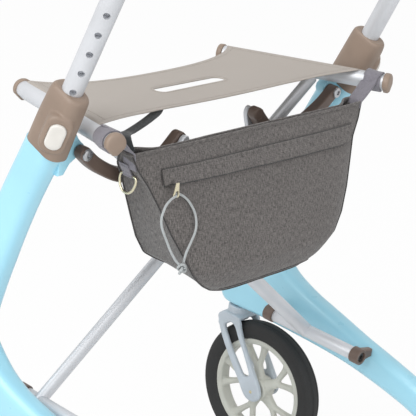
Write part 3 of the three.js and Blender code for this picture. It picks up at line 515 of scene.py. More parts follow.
def spread(material, source, low, high, start=0.0, end=1.0):
    made = node(material, "MapRange")
    for key, value in zip(("From Min", "From Max", "To Min", "To Max"), (low, high, start, end)):
        made.inputs[key].default_value = value
    wire(material, source, made.inputs["Value"])
    return made.outputs["Result"]


def blend_colours(material, share, first, second):
    made = node(material, "Mix", data_type="RGBA")
    wire(material, share, made.inputs[0])
    for colour, socket in ((first, made.inputs[6]), (second, made.inputs[7])):
        if isinstance(colour, list):
            socket.default_value = colour
        else:
            wire(material, colour, socket)
    return made.outputs[2]


def sums(material, operation, first, second):
    made = node(material, "Math", operation=operation)
    for value, socket in ((first, made.inputs[0]), (second, made.inputs[1])):
        if isinstance(value, (int, float)):
            socket.default_value = value
        else:
            wire(material, value, socket)
    return made.outputs[0]


def raised(material, shader, height, strength, distance):
    made = node(material, "Bump", Strength=strength, Distance=distance)
    wire(material, height, made.inputs["Height"])
    wire(material, made.outputs["Normal"], shader.inputs["Normal"])
    return made


def patchy(material, scale):
    return spread(material, cloudy(material, where(material), scale), 0.35, 0.65)


def worn_colour(material, shader, code, scale, tones):
    dark, light, worn = [shade(code, tone) for tone in tones]
    colour = blend_colours(material, patchy(material, scale), dark, light)
    surface = node(material, "NewGeometry")
    share = spread(material, surface.outputs["Pointiness"], 0.52, 0.62, 0.0, 0.7)
    wire(material, blend_colours(material, share, colour, worn), shader.inputs["Base Color"])


def uneven_gloss(material, shader, source, low, high):
    wire(material, spread(material, source, 0.3, 0.7, low, high), shader.inputs["Roughness"])


paint_code = "#A2D9EC"
print("colour of the side frames", [round(c, 3) for c in linear(paint_code)])

# %% [markdown]
# ## Moulded and painted finishes
# The side frames are sprayed pale blue under a clear coat, with the faint ripple that sprayed
# paint has. Collars, caps and links are grained plastic: noise of about half a millimetre
# roughens them, and a slow noise shifts the colour a little, as it does between mouldings.


# %% Paint and plastic
def painted(name, slot, code):
    material, shader = new_finish(name, slot, 0.32, coat=0.35)
    place = where(material)
    worn_colour(material, shader, code, 9, (0.95, 1.03, 1.12))
    uneven_gloss(material, shader, cloudy(material, place, 60), 0.27, 0.38)
    raised(material, shader, cloudy(material, place, 420, 2), 0.05, 0.0004)
    return material


def grained(name, slot, code, roughness=0.5, grain=1400, strength=0.22, pale=1.3):
    material, shader = new_finish(name, slot, roughness)
    worn_colour(material, shader, code, 22, (0.92, 1.06, pale))
    fine = cloudy(material, where(material), grain, 2, 0.6)
    uneven_gloss(material, shader, fine, roughness - 0.07, roughness + 0.08)
    raised(material, shader, fine, strength, 0.0003)
    return material


frame_paint = painted("pale_blue_paint", "frame_shell", paint_code)
taupe = grained("taupe_plastic", "taupe_plastic", "#8F7D6F", 0.48)
dark_taupe = grained("dark_taupe_plastic", "dark_plastic", "#64544B", 0.45)
button_plastic = grained("button_plastic", "button_plastic", "#D6D3CD", 0.5)
fork_plastic = grained("fork_plastic", "fork_plastic", "#BFC8D0", 0.5)
hub_plastic = grained("hub_plastic", "hub_plastic", "#C6C7BE", 0.5)
lever_plastic = grained("lever_plastic", "lever_plastic", "#2F2E30", 0.42)
grip_rubber = grained("grip_rubber", "grip_rubber", "#3A393B", 0.8, 900, 0.5)
tyre_rubber = grained("tyre_rubber", "tyre_rubber", "#2C2C2C", 0.78, 700, 0.45, 1.5)
print("moulded finishes:", len(bpy.data.materials))

# %% [markdown]
# ## Metal finishes
# The rails and tubes are anodised aluminium. Drawing a tube leaves fine lines along it, which
# are noise stretched along the tube in the UV map. Pins and rear axles are zinc, the hinge
# bolts are dark grey, painted shade for the dark hole at each hinge, and the bag's fittings
# have the warm white of nickel.


# %% Metals
def drawn_metal(name, slot, code, roughness, metallic=0.85, lines=True):
    material, shader = new_finish(name, slot, roughness, metallic)
    place = where(material, "UV", (1, 0.01, 1)) if lines else where(material)
    streaks = cloudy(material, place, 320, 2, 0.5)
    worn_colour(material, shader, code, 14, (0.93, 1.04, 1.15))
    uneven_gloss(material, shader, streaks, roughness - 0.02, roughness + 0.02)
    raised(material, shader, streaks, 0.006, 0.0001)
    return material


aluminium = drawn_metal("anodised_aluminium", "tube_metal", "#D0D2D6", 0.46, 0.42)
zinc = drawn_metal("zinc_steel", "steel", "#B4B6B9", 0.3, 1.0, False)
# Dark grey steel for the hinge bolts: painted shade for the dark hole at each hinge.
hole_shade_steel = drawn_metal("hinge_hole_shade_steel", "steel", "#3A3634", 0.5, 0.5, False)
nickel = drawn_metal("nickel_fitting", "ring_metal", "#DCD4B8", 0.28, 0.9, False)
print("finishes so far:", len(bpy.data.materials))

# %% [markdown]
# ## Cloth finishes
# A weave is two sets of threads at right angles. Two wave textures in the UV map make them,
# and their product is the bump. The bag is a melange: its threads are spun from pale and dark
# fibre, so two noises, one stretched along each set of threads, give the flecks.


# %% Weaves
def woven(name, slot, code, pitch, flecks, strength=0.5, sheen=0.25, stretch=9.0):
    material, shader = new_finish(name, slot, 0.88, sheen=sheen, specular=0.25)
    waves = []
    for way in ("X", "Y"):
        wave = node(
            material, "TexWave", Scale=0.31 / pitch, Distortion=0.6, Detail=1.0, bands_direction=way
        )
        wire(material, where(material, "UV"), wave.inputs["Vector"])
        waves.append(wave.outputs["Fac"])
    threads = sums(material, "MULTIPLY", *waves)
    spun = []
    for scale, weight in (((1, stretch, 1), 0.7), ((stretch, 1, 1), 1.3)):
        fibre = cloudy(material, where(material, "UV", scale), 0.28 / pitch, 4, 0.65)
        spun.append(sums(material, "MULTIPLY", fibre, weight))
    fleck = spread(material, sums(material, "ADD", *spun), 0.78, 1.22)
    dark, pale = [shade(code, tone) for tone in flecks]
    colour = blend_colours(material, fleck, dark, pale)
    dust = spread(material, patchy(material, 11), 0, 1, 0.0, 0.12)
    shadowed = blend_colours(material, dust, colour, dark)
    # Painted shade: the gaps between the threads are darkened towards a deeper tone of the cloth.
    thread_gap_shade = spread(material, threads, 0.0, 0.35, 0.25, 0.0)
    deep = shade(code, flecks[0] * 0.8)
    wire(material, blend_colours(material, thread_gap_shade, shadowed, deep), shader.inputs["Base Color"])
    height = sums(material, "ADD", threads, sums(material, "MULTIPLY", fleck, 0.5))
    raised(material, shader, height, strength, 0.0004)
    return material


seat_cloth = woven("seat_canvas", "seat_fabric", "#B7AFA7", 0.0009, (0.9, 1.07), 0.3, 0.15)
bag_cloth = woven("bag_melange", "bag_fabric", "#65615F", 0.0017, (0.4, 1.85), 0.45, 0.25, 5.5)
strap_web = woven("grey_webbing", "strap_fabric", "#85828A", 0.0013, (0.75, 1.25), 0.6, 0.3)
dark_web = woven("dark_webbing", "webbing_fabric", "#2B2F31", 0.0014, (0.7, 1.35), 0.6, 0.3)
# Dark colour of the piping, flap edges and flap stitches: the thread's own colour, and painted shade
# in the bag's seams and along the zip flap.
thread_and_seam_shade = woven("bag_binding", "bag_fabric", "#3F3D3C", 0.0009, (0.7, 1.3), 0.5, 0.3)
seat_thread = woven("seat_thread", "seat_fabric", "#ADA59D", 0.0005, (0.9, 1.1), 0.3, 0.2)
cord_cloth = woven("braided_cord", "cord_fabric", "#C3C8C9", 0.0007, (0.82, 1.12), 0.9, 0.2)
print("finishes in all:", len(bpy.data.materials))

# %% [markdown]
# ## Places that pieces share
# On the real walker the frame, the folding cross and the wheels meet at a few bolts and axles.
# Their lines are written once here, so that a pin, its hole and what turns on it agree.

# %% Shared places
leg_x = 268
wheel_y, axle_z = 222, 100
hinge = Vector((221.6, 0, 244))
crossing_z = 420
link_ends = ((235.5, 574), (80.5, 567))
link_spans = {"right": (159, 173), "left": (143, 157)}
rail_rear = Vector((247, 96, 605))
rail_front = Vector((179, 308.5, 588.3))
pull_x = -161.5
print("axles are", 2 * wheel_y, "mm apart")

# %% [markdown]
# ## Cord on the zip pull
# A loop of elastic cord hangs from the zip's pull, both ends tied in one knot. It is two free
# strands: each leaves the hole of the pull, swings out because the cord is springy, and falls
# into the knot. Their lengths are what the photograph shows from end to end. A strand is a
# thin tube along a measured line, and the knot is a closed tube that winds round twice.

# %% Cord strands
cord_radius = 1.4
left_strand = [
    (pull_x, 71.5, 538), (-163.6, 69.6, 538), (-166.5, 68.8, 537.8), (-173.5, 68, 536),
    (-181.4, 67.2, 530.4), (-187, 66, 519), (-187.5, 64.5, 510.5), (-185, 62.3, 501.5),
    (-180.5, 59.5, 491), (-175.4, 56.6, 479.5), (-169, 52.8, 468), (-163.5, 50.4, 462),
]
right_strand = [
    (pull_x, 71.5, 538), (-159.4, 73.4, 538), (-156.5, 74.2, 537.8), (-149, 73, 534.8),
    (-141, 69, 527.5), (-135.2, 63.6, 516), (-134.4, 59.2, 504.5), (-138.2, 55.8, 494.5),
    (-146.5, 53.2, 484), (-153.4, 51.8, 473.5), (-157.4, 50.4, 463),
]
knot_centre = Vector((-160, 49.2, 457))
knot_radius = 1.6


def ring_tube(bm, loop, radius, sides=12):
    centre = sum(loop, Vector()) / len(loop)
    rings = []
    for i, point in enumerate(loop):
        way = (loop[(i + 1) % len(loop)] - loop[i - 1]).normalized()
        out = point - centre
        out = (out - way * out.dot(way)).normalized()
        rings.append(placed(circle(radius, sides), point, out, way.cross(out)))
    return pull_skin(bm, rings, caps=False, join=True)


def knot_line():
    turns = []
    for i in range(64):
        angle = 2 * math.pi * i / 64
        ring = 4 + 2 * math.cos(3 * angle)
        x, z = ring * math.cos(2 * angle), ring * math.sin(2 * angle)
        turns.append(knot_centre + Vector((x, 2.3 * math.sin(3 * angle), z)))
    return turns


knot = ring_tube(bmesh.new(), knot_line(), knot_radius)
knot_piece = piece(knot, "cord_knot", cord_cloth, body="zip_slider", hard=0)
for name, points in (("left", left_strand), ("right", right_strand)):
    path = even_line(smooth_line(points, 8), 36)
    bm = tube(bmesh.new(), path, cord_radius, 14)
    strand = piece(bm, f"cord_strand_{name}", cord_cloth, body="zip_slider", hard=0)
    if name == "left":
        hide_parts("pull_cord")

# %% [markdown]
# ## Side frames
# Each side is one hollow moulding: a leg that comes down from the collar, turns at the caster
# and runs back to the rear wheel. Outer and inner edges are listed in pairs, and a rounded
# section is drawn between each pair. That gives an even skin where a cut-out plate would have
# a hard rim and a flat side.

# %% Side frame moulding
leg_pairs = [
    (197.8, 589, 153.6, 571.5), (204, 574, 160, 557.6), (224, 526, 180.4, 509.7),
    (243, 479, 197.5, 462), (257, 444, 208.7, 426), (269, 408, 219, 391.7),
    (281, 366, 229, 352), (292, 325, 230, 333), (303, 284, 226, 320), (311, 252, 222.5, 313.5),
    (314, 236, 219.5, 310), (312, 222, 216, 306.5), (304, 212, 211, 302.5),
    (290, 209.5, 204, 297.5), (272, 209.5, 194, 291), (240, 210, 176, 283),
    (200, 210, 152, 274.8), (163, 209.5, 129, 269), (118, 208, 96, 260.5),
    (72, 204.5, 58, 250.3), (18, 196, 7, 238.7), (-34, 184, -44, 225), (-80, 166, -96, 204.7),
    (-115, 148, -134, 184.5), (-148.4, 127.7, -169.5, 161.7), (-182, 104, -204, 137.3),
    (-208, 85, -231, 118.5), (-217, 80.8, -238.6, 111.5), (-226, 80.6, -241.4, 104),
    (-233.5, 84, -241.9, 97),
]
depth_shares = [(-244, 0.75), (50, 0.94), (200, 1), (290, 1.22), (330, 1.22)]
leg_half_depth = 16
beam_start_y, beam_length, beam_inset = 200, 422, 14
leg_end_z, turn_height = 330, 68


def beam_drift(y):
    return beam_inset * between((beam_start_y - y) / beam_length)


def beam_inner(y):
    return leg_x - beam_drift(y) - leg_half_depth * lookup(depth_shares, y)[0]


def pair_ring(x, pair, shape_of):
    outer, inner = Vector((x, *pair[:2])), Vector((x, *pair[2:]))
    shape = shape_of((outer - inner).length / 2)
    return placed(shape, (outer + inner) / 2, (1, 0, 0), (outer - inner).normalized())


def side_frame(side):
    bm = bmesh.new()
    rings = []
    for pair in smooth_line(leg_pairs, 4):
        y, z = (pair[0] + pair[2]) / 2, (pair[1] + pair[3]) / 2
        low = ease(between((leg_end_z - z) / turn_height))
        deep = leg_half_depth * (1 + (lookup(depth_shares, y)[0] - 1) * low)
        rings.append(pair_ring(
            leg_x - beam_drift(y) * low, pair,
            lambda half: rounded_box(deep, half, min(13, half * 0.9, deep * 0.92), 7),
        ))
    pull_skin(bm, rings)
    lug = [
        (226, 575), (228.6, 569), (235, 566.5), (246, 560), (254, 548), (262, 548), (262, 592),
        (250, 596), (241, 595), (236, 588), (231, 583), (227, 580),
    ]
    start = link_spans[side][1] + 0.3
    plate(bm, lug, "Y", start, start + 14, 1.5)
    return bm


both_sides("side_frame", side_frame, frame_paint, "frame", same=False)

# %% [markdown]
# ## Collars and height buttons
# A taupe collar closes the top of each leg and grips the handle tube. It swells into a pad for
# the button, without a seam between them. A voxel remesh melts the two rough bodies into one
# skin and a few rounds of smoothing soften it; the bore, the button's well and the flat foot
# are cut afterwards, so that they stay crisp. First come the lines that both follow: the
# handle tube leans forward as it goes down, and the button looks outward and to the rear.

# %% Lines of the handle tube
lean = math.radians(20.5)
down_tube = Vector((0, math.sin(lean), -math.cos(lean)))
across_tube = Vector((0, math.cos(lean), math.sin(lean)))
button_turn = math.radians(44)
button_way = Vector((math.cos(button_turn), 0, 0)) - across_tube * math.sin(button_turn)
button_side = button_way.cross(down_tube)
boss_down = 45
handle_radius = 12
bore_gap = 0.25
hole_pitch = 25


def tube_point(down):
    return Vector((leg_x, 145, 652)) + down_tube * down


def pad_rings(half_a, half_b, corner, levels, steps=7):
    rings = []
    for out, shrink in levels:
        shape = rounded_box(half_a - shrink, half_b - shrink, corner - shrink, steps)
        centre = tube_point(boss_down) + button_way * out
        rings.append(placed(shape, centre, button_side, down_tube))
    return rings


print("tube leans", round(math.degrees(lean), 1), "degrees")

# %% [markdown]
# ## Collar
# The collar is injection moulded round the tube's line. Its section is a rounded box that
# grows a little on the way down, listed at a few stations. The pad is a second, shorter skin.


# %% Collar
def collar(side):
    bm = bmesh.new()
    stations = [
        (-0.5, 19.4, 12.9, 13.2), (1.2, 21.6, 13.4, 14.6), (4, 23, 13.9, 15.8), (14, 24, 14, 17),
        (44, 25, 14.2, 17.6), (72, 25.6, 15, 17), (84, 25.8, 15.6, 16.4),
    ]
    rings = []
    for down, half, inner, outer in smooth_line(stations, 3):
        half_x = (outer + inner) / 2
        shape = rounded_box(half_x, half, min(half, half_x) * 0.85, 7)
        middle = tube_point(down) + Vector(((outer - inner) / 2, 0, 0))
        rings.append(placed(shape, middle, (1, 0, 0), across_tube))
    pull_skin(bm, rings)
    pull_skin(bm, pad_rings(15.5, 24.5, 12, [(6, 0), (23, 0), (25.6, 1.2), (26.8, 3.4)]))
    return bm


def trim_collar(obj):
    melt(obj, 1.1, 7)
    carve(obj, tube(bmesh.new(), [tube_point(-9), tube_point(92)], handle_radius + bore_gap, 48))
    carve(obj, pull_skin(bmesh.new(), pad_rings(10, 16.6, 9.4, [(15.5, 0), (60, 0)])))
    box = rounded_box(60, 60, 1, 2)
    below = [placed(box, tube_point(down), (1, 0, 0), across_tube) for down in (78, 120)]
    carve(obj, pull_skin(bmesh.new(), below))


both_sides("collar_moulding", collar, taupe, "collar", trim_collar)

# %% [markdown]
# ## Buttons
# A pale push button fills the well of each pad and frees the height pin. It is a moulded
# lozenge with a domed face: the same outline at seven heights, drawn in more and more.


# %% Buttons
def button(side):
    levels = [
        (20, 0.2), (28.2, 0), (29.2, 0.35), (29.8, 1.1), (30.1, 2.2), (30.3, 4.5), (30.4, 7.5),
    ]
    return pull_skin(bmesh.new(), pad_rings(9.6, 16.2, 9, levels))


both_sides("height_button", button, button_plastic, "push_button", hard=60)

# %% [markdown]
# ## Handle tubes
# The handle tube slides in the collar and has a row of holes that the button's pin drops
# into. The holes are real: they are cut as blind wells, deep enough to go dark.


# %% Handle tubes
def handle_tube(side):
    line = [tube_point(down) for down in range(-211, 131, 11)]
    return tube(bmesh.new(), line, handle_radius, 56, across_tube)


def drill_holes(obj):
    cutter = bmesh.new()
    for number in range(-2, 8):
        centre = tube_point(boss_down - hole_pitch * number)
        tube(cutter, [centre + button_way * 4, centre + button_way * 15], 3.9, 24, down_tube)
    carve(obj, cutter, 30)


both_sides("height_tube", handle_tube, aluminium, "handle_tube", drill_holes, hard=30)

# %% [markdown]
# ## Handle heads
# The photograph stops below the handles, so they follow what such a walker has. The head is a
# moulding that turns the line of the tube into that of the grip. Its side outline is given a
# width, melted with the socket of the grip, and then slotted for the lever and bored.

# %% Handle heads
grip_start = Vector((leg_x, 42.6, 869))
grip_end = Vector((leg_x, -98, 877))


def handle_head(side):
    bm = bmesh.new()
    outline = [
        (101, 826), (98, 838), (94, 850), (90, 860), (85, 868), (78, 875.5), (68, 881),
        (56, 884), (44, 885), (44, 868), (44, 852), (37, 846), (37, 822), (58, 817), (66, 811),
        (84, 817),
    ]
    plate(bm, outline, "X", 254, 282, 5, 4)
    tube(bm, [grip_start + (grip_start - grip_end) * 0.06, grip_start], 16.4, 40, (1, 0, 0))
    return bm


def shape_head(obj):
    melt(obj, 1.2, 5)
    slot = [(-98, 817), (58, 817), (58, 843), (-98, 843)]
    carve(obj, plate(bmesh.new(), slot, "X", 261.7, 274.3))
    bore = [tube_point(-211.3), tube_point(-150)]
    carve(obj, tube(bmesh.new(), bore, handle_radius + 0.3, 48, across_tube))


both_sides("handle_head", handle_head, taupe, "handle_housing", shape_head)

# %% [markdown]
# ## Grips and levers
# The grip is soft rubber pushed over the end of the head, fuller in the middle of the hand. A
# narrow groove in its radius about every ten millimetres leaves the ribs. The lever is a flat
# moulding with round edges that hangs on a pin below it, made from its side outline.


# %% Grips and levers
def grip(side):
    way = (grip_end - grip_start).normalized()
    length = (grip_end - grip_start).length
    profile = [
        (0, 15.8), (0.5, 16.5), (5, 17), (7.5, 16.4), (9, 15.2), (30, 15.8), (58, 16.4),
        (86, 15.6), (116, 15), (127, 16.2), (130, 16.6), (136, 16.4), (139.5, 14.8),
        (140.8, 12.5), (141, 8), (141, 2),
    ]
    line = []
    for at, radius in smooth_line(profile, 6):
        if 10 < at < 116:
            radius -= 0.5 * max(0.0, math.sin(at * math.pi / 5.3)) ** 6
        line.append((at, radius))
    points = [grip_start + way * (at / profile[-1][0] * length) for at, _ in line]
    return tube(bmesh.new(), points, [radius for _, radius in line], 48, (1, 0, 0))


def lever(side):
    bm = bmesh.new()
    outline = [
        (56, 836), (52, 841), (44, 841), (34, 834), (12, 829), (-20, 826), (-56, 825),
        (-84, 828), (-88, 824), (-84, 819), (-56, 815), (-20, 816), (14, 820), (40, 824),
        (50, 825.5), (56, 830),
    ]
    plate(bm, smooth_line(outline, 3, True), "X", 262, 274, 2.2, 4)
    pin = [(0, -12), (2.6, -12), (3, -11.6), (3, 11.6), (2.6, 12), (0, 12)]
    return turned(bm, pin, "X", (leg_x, 48, 833))


both_sides("hand_grip", grip, grip_rubber, "grip", hard=60)
both_sides("brake_handle", lever, lever_plastic, "brake_lever", even_normals)

# %% [markdown]
# ## Seat rails
# The rails that carry the seat are drawn profiles: round on top where the cloth lies, and
# drawn in to an edge below. A thick taupe cap with the same outline closes each end. Both are
# the one outline pulled along the rail, and the cap lets it grow and shrink for its soft rim.

# %% Rails and caps
rail_way = (rail_front - rail_rear).normalized()
rail_length = (rail_front - rail_rear).length
rail_across = rail_way.cross(Vector((0, 0, 1))).normalized()
rail_up = rail_across.cross(rail_way)


def rail_at(y):
    return rail_rear + rail_way * ((y - rail_rear.y) / rail_way.y)


def rail_outline(grow, steps=28):
    radius = 10.5 + grow
    outline = []
    for i in range(steps + 1):
        angle = math.pi * (-0.12 + 1.24 * i / steps)
        outline.append((math.cos(angle) * radius, 1 + math.sin(angle) * radius))
    left, right = Vector(outline[-1]), Vector(outline[0])
    tip = Vector((0, -12 - grow * 1.35))
    for side, share in ((left, 0.4), (left, 0.8), (right, 0.8), (right, 0.4)):
        outline.append(tuple(side.lerp(tip, share)))
    return outline


def rail_ring(distance, grow):
    return placed(rail_outline(grow), rail_rear + rail_way * distance, rail_across, rail_up)


def rail(side):
    spots = [0, 1] + list(range(10, int(rail_length), 12)) + [rail_length - 1, rail_length]
    return pull_skin(bmesh.new(), [rail_ring(d, 0) for d in spots])


def end_cap(start, way):
    levels = [
        (0.3, 1.2), (0.6, 1.6), (1.2, 1.8), (5.4, 1.8), (6.8, 1.4), (7.7, 0.4), (8.2, -1.2), (8.3, -5),
    ]
    return pull_skin(bmesh.new(), [rail_ring(start + way * d, grow) for d, grow in levels])


both_sides("seat_rail", rail, aluminium, "rail", hard=50)
for end, start, way in (("rear", 0, -1), ("front", rail_length, 1)):
    both_sides(f"rail_end_{end}", lambda side: end_cap(start, way), taupe, f"rail_cap_{end}", hard=70)
print("rail", round(rail_length), "mm long")

# %% [markdown]
# ## Folding cross
# Two oval tubes cross under the seat and turn on one bolt. Each runs from a hinge sleeve at
# the foot of one side frame up to the rail of the other side, and carries a bracket for its
# folding link. A tube is a circle that is flattened from front to rear and pulled along a
# straight line; the second one also has the spacer that keeps the two apart at the bolt.

# %% Cross tubes
tube_half, tube_flat_half = 9.8, 6.2
spacer_radius, spacer_length = 9, 44.7
cross_way = Vector((hinge.x, 0, crossing_z - hinge.z)).normalized()
bracket = [
    (80.5, 573.2), (76.6, 571.8), (74.6, 568), (74.4, 564), (76, 558), (100, 500), (126, 520.6),
    (88, 566), (85, 571),
]


def cross_tube(y, bracket_y, spacer):
    bm = bmesh.new()
    foot = Vector((-hinge.x, y, hinge.z))
    reach = (rail_at(y).x - 4 + hinge.x) / cross_way.x
    line = [foot + cross_way * (reach * i / 40) for i in range(41)]
    tube(bm, line, tube_half, 40, (0, 1, 0), tube_flat_half / tube_half)
    plate(bm, bracket, "Y", bracket_y, bracket_y + 7, 1.2)
    if spacer:
        half = [(0, 0), (spacer_radius, 0), (spacer_radius, spacer_length), (0, spacer_length)]
        turned(bm, half, "Y", (0, y, crossing_z))
    return bm


bar_a = cross_tube(y=186, bracket_y=173.6, spacer=False)
piece(bar_a, "cross_bar_a", aluminium, "cross_tube_a", hard=30)
bar_b = mirror(cross_tube(y=130, bracket_y=135.4, spacer=True))
piece(bar_b, "cross_bar_b", aluminium, "cross_tube_b", hard=30)
print("cross tubes run at", round(math.degrees(math.asin(cross_way.z)), 1), "degrees")

# %% [markdown]
# ## Hinge sleeves, bushes and bolts
# At its foot each cross tube is welded to a sleeve that turns on a long bolt. A moulded bush
# at either end of the sleeve holds the bolt, with an arm that reaches to the side frame. Sleeve,
# bush and bolt are turned like on a lathe, and the arm is a plate. The two sides differ in
# place and length, because one tube lies behind the other.

# %% Hinge sleeves, bushes and bolts
sleeve_spans = {"right": (50, 185), "left": (68, 206)}
bolt_radius = 4
bolt_hole = 4.3


def hinge_sleeve(side):
    rear, front = sleeve_spans[side]
    profile = [
        (bolt_hole, rear), (8.4, rear), (9, rear + 0.8), (9, front - 0.8), (8.4, front),
        (bolt_hole, front),
    ]
    return turned(bmesh.new(), profile + [profile[0]], "Y", (hinge.x, 0, hinge.z))


def hinge_bush(side, way):
    rear, front = sleeve_spans[side]
    start = front + 0.3 if way > 0 else rear - 15.3
    end = start + 15
    near, far = (start, end) if way > 0 else (end, start)
    profile = [
        (bolt_hole, near), (10, near), (11, near + way), (11, far - way), (10, far), (7.6, far),
        (7, far - way * 0.6), (7, far - way * 6), (bolt_hole, far - way * 6), (bolt_hole, near),
    ]
    bm = turned(bmesh.new(), profile, "Y", (hinge.x, 0, hinge.z))
    arm_end = max(beam_inner(start), beam_inner(end)) + 1.5
    arm = [
        (hinge.x + 4, hinge.z - 9.5), (arm_end, hinge.z - 7), (arm_end, hinge.z + 4),
        (hinge.x + 4, hinge.z + 9.5),
    ]
    plate(bm, arm, "Y", start + 2.5, end - 2.5, 3, 4)
    return bm


def bolt_y(x, z, rear, front, head_radius, head_length=4):
    bm = bmesh.new()
    for face, way in ((rear, -1), (front, 1)):
        end = face + way * head_length
        profile = [
            (0, end - way * 2), (2.6, end - way * 2), (2.9, end), (head_radius - 0.8, end),
            (head_radius, end - way * 0.8), (head_radius, face), (bolt_radius, face),
            (0, face - way * 2),
        ]
        turned(bm, profile, "Y", (x, 0, z), 24)
    shank = [(0, rear), (bolt_radius, rear), (bolt_radius, front), (0, front)]
    return turned(bm, shank, "Y", (x, 0, z), 24)


def hinge_bolt(side):
    rear, front = sleeve_spans[side]
    return bolt_y(hinge.x, hinge.z, rear - 9.6, front + 9.6, 6)


both_sides("hinge_tube", hinge_sleeve, aluminium, "hinge_sleeve", same=False)
for end, way in (("rear", -1), ("front", 1)):
    both_sides(
        f"bush_{end}", lambda side: hinge_bush(side, way), dark_taupe, f"hinge_bush_{end}", same=False
    )
# The hinge bolts are dark grey: painted shade for the dark hole at each hinge.
both_sides("hinge_screw", hinge_bolt, hole_shade_steel, "hinge_bolt", same=False)
piece(bolt_y(0, crossing_z, 118.7, 197.3, 7.5), "cross_screw", zinc, "cross_pivot_bolt")

# %% [markdown]
# ## Folding links
# A curved arm joins each leg to the cross tube of its side and locks the cross when the seat
# is pressed down. It is a thick moulding with rounded edges and a thin raised lip round each
# end's pin, so it is a bar of even width along a curve, with the lips turned on. The pin has a
# round head with a dimple and is turned too.

# %% Links and pins
link_half = 8.2
link_line = [
    link_ends[0], (220, 561), (200, 549), (178, 539), (154, 534), (128, 536), (104, 546),
    link_ends[1],
]


def link(side):
    rear, front = link_spans[side]
    bm = bmesh.new()
    plate(bm, bar_outline(smooth_line(link_line, 4), link_half, 10), "Y", rear, front, 2.6, 5)
    for x, z in link_ends:
        lip = [(6.2, rear + 0.2), (6.4, rear - 0.25), (7.4, rear - 0.25), (7.6, rear + 0.2)]
        turned(bm, lip + [lip[0]], "Y", (x, 0, z), 32)
    return bm


def link_pin(side):
    rear, front = link_spans[side]
    head = rear - 3.3
    profile = [
        (0, head + 1.6), (2.7, head + 1.6), (3, head), (5.2, head), (6.6, head + 0.7),
        (7, head + 1.8), (7, head + 3), (4, head + 3), (4, front + 10), (0, front + 10),
    ]
    x, z = link_ends[0]
    return turned(bmesh.new(), profile, "Y", (x, 0, z), 32)


both_sides("fold_link", link, dark_taupe, "link", even_normals, same=False, hard=50)
both_sides("link_rivet", link_pin, zinc, "link_pin", same=False)

# %% [markdown]
# ## Caster forks
# Each caster fork is a pair of open loops joined over the wheel. A loop is a rounded section
# pulled round the slot, between the outer outline and the slot's own edge, so both edges are
# soft. The two loops, the bridge over the tyre and the bearing are melted into one casting.

# %% Caster fork
fork_pairs = [
    (301, 194, 287, 183), (300.5, 184, 287, 177.5), (292.5, 166, 280.5, 166),
    (279, 146, 268.8, 149.4), (262, 124, 252.6, 130.8), (247, 106, 243, 119.6),
    (238, 94, 239.6, 118), (229, 86.5, 236.6, 118.2), (218, 85.5, 234, 119.2),
    (209, 91, 231.6, 121.4), (206, 100, 231.4, 124.4), (210, 111, 233.2, 129.4),
    (222, 128, 240.2, 141), (238, 150, 249, 154.6), (250, 168, 259.4, 168.4),
    (258, 184, 267.4, 181.6), (263, 195, 273, 186.6), (282, 198, 281, 187.4),
]


def fork(side):
    bm = bmesh.new()
    for x in (leg_x - 20, leg_x + 20):
        rings = [
            pair_ring(x, pair, lambda half: rounded_box(3.6, half + 0.2, min(3.2, half), 4))
            for pair in smooth_line(fork_pairs, 3, True)
        ]
        pull_skin(bm, rings, caps=False, join=True)
    bridge = [
        (263, 195.5), (270, 192), (280, 186.2), (288, 180), (292.5, 176.5), (301, 176.5),
        (301.4, 190), (298, 197), (290, 200), (272, 200), (264, 199),
    ]
    plate(bm, bridge, "X", 245.5, 290.5, 3, 3)
    bearing = [(0, 190), (16, 190), (16.2, 207.5), (15.4, 209), (0, 209)]
    return turned(bm, bearing, "Z", (leg_x, 283, 0))


def shape_fork(obj):
    melt(obj, 1.15, 4)
    ends = [(leg_x + x, wheel_y, axle_z) for x in (-28, 28)]
    carve(obj, tube(bmesh.new(), ends, 2.5, 32))


both_sides("caster_arms", fork, fork_plastic, "caster_fork", shape_fork, hard=50)

# %% [markdown]
# ## Front axles
# A steel axle crosses the fork. Only its ends show, as small bright discs that lie flush in
# the fork's legs. It is turned from both ends, with a slim end and a thick middle in the hub.


# %% Front axles
def front_axle(side):
    bm = bmesh.new()
    for way in (-1, 1):
        face = way * 23.8
        profile = [
            (0, face - way * 1.4), (1.2, face - way * 1.2), (1.4, face), (2, face + way * 0.1),
            (2.3, face - way * 0.4), (2.3, way * 16.2), (4, way * 16.2), (4, 0),
        ]
        turned(bm, profile, "X", (leg_x, wheel_y, axle_z), 32)
    return bm


both_sides("front_spindle", front_axle, nickel, "front_axle")

# %% [markdown]
# ## Wheels
# The tyre is a turned rubber ring with a flat tread, two shallow grooves and a step in its
# side wall. The rim is moulded: five broad stems leave the hub, and each parts into two
# branches that flare into the ring. A moulding has no seam where such arms meet, so the rim
# is melted from its parts by a voxel remesh. One tyre and one rim serve all four wheels.

# %% Tyre and rim
spoke_count = 5
branch_spread = math.radians(16)
branch_start, branch_end = 30, 70
tyre_half = [
    (75.9, 10.2), (78, 11.4), (84, 13.4), (88.5, 14), (91, 13.8), (92.2, 13), (93.4, 13.2),
    (97, 11), (99, 8), (99.6, 6.2), (98.7, 5.4), (98.7, 4.4), (99.8, 3.6), (100, 2),
]


def tyre(bm):
    profile = [(r, -t) for r, t in tyre_half] + [(r, t) for r, t in reversed(tyre_half)]
    return turned(bm, profile + [profile[0]], "X", (0, 0, 0), 96)


def wheel_way(turn):
    return Vector((0, math.cos(turn), math.sin(turn))), Vector((0, -math.sin(turn), math.cos(turn)))


def spoke(bm, widths, start, out, across):
    rings = []
    for at, wide, thick in smooth_line(widths, 3):
        shape = rounded_box(thick, wide, min(wide, thick) * 0.9, 5)
        rings.append(placed(shape, start + out * at, (1, 0, 0), across))
    return pull_skin(bm, rings)


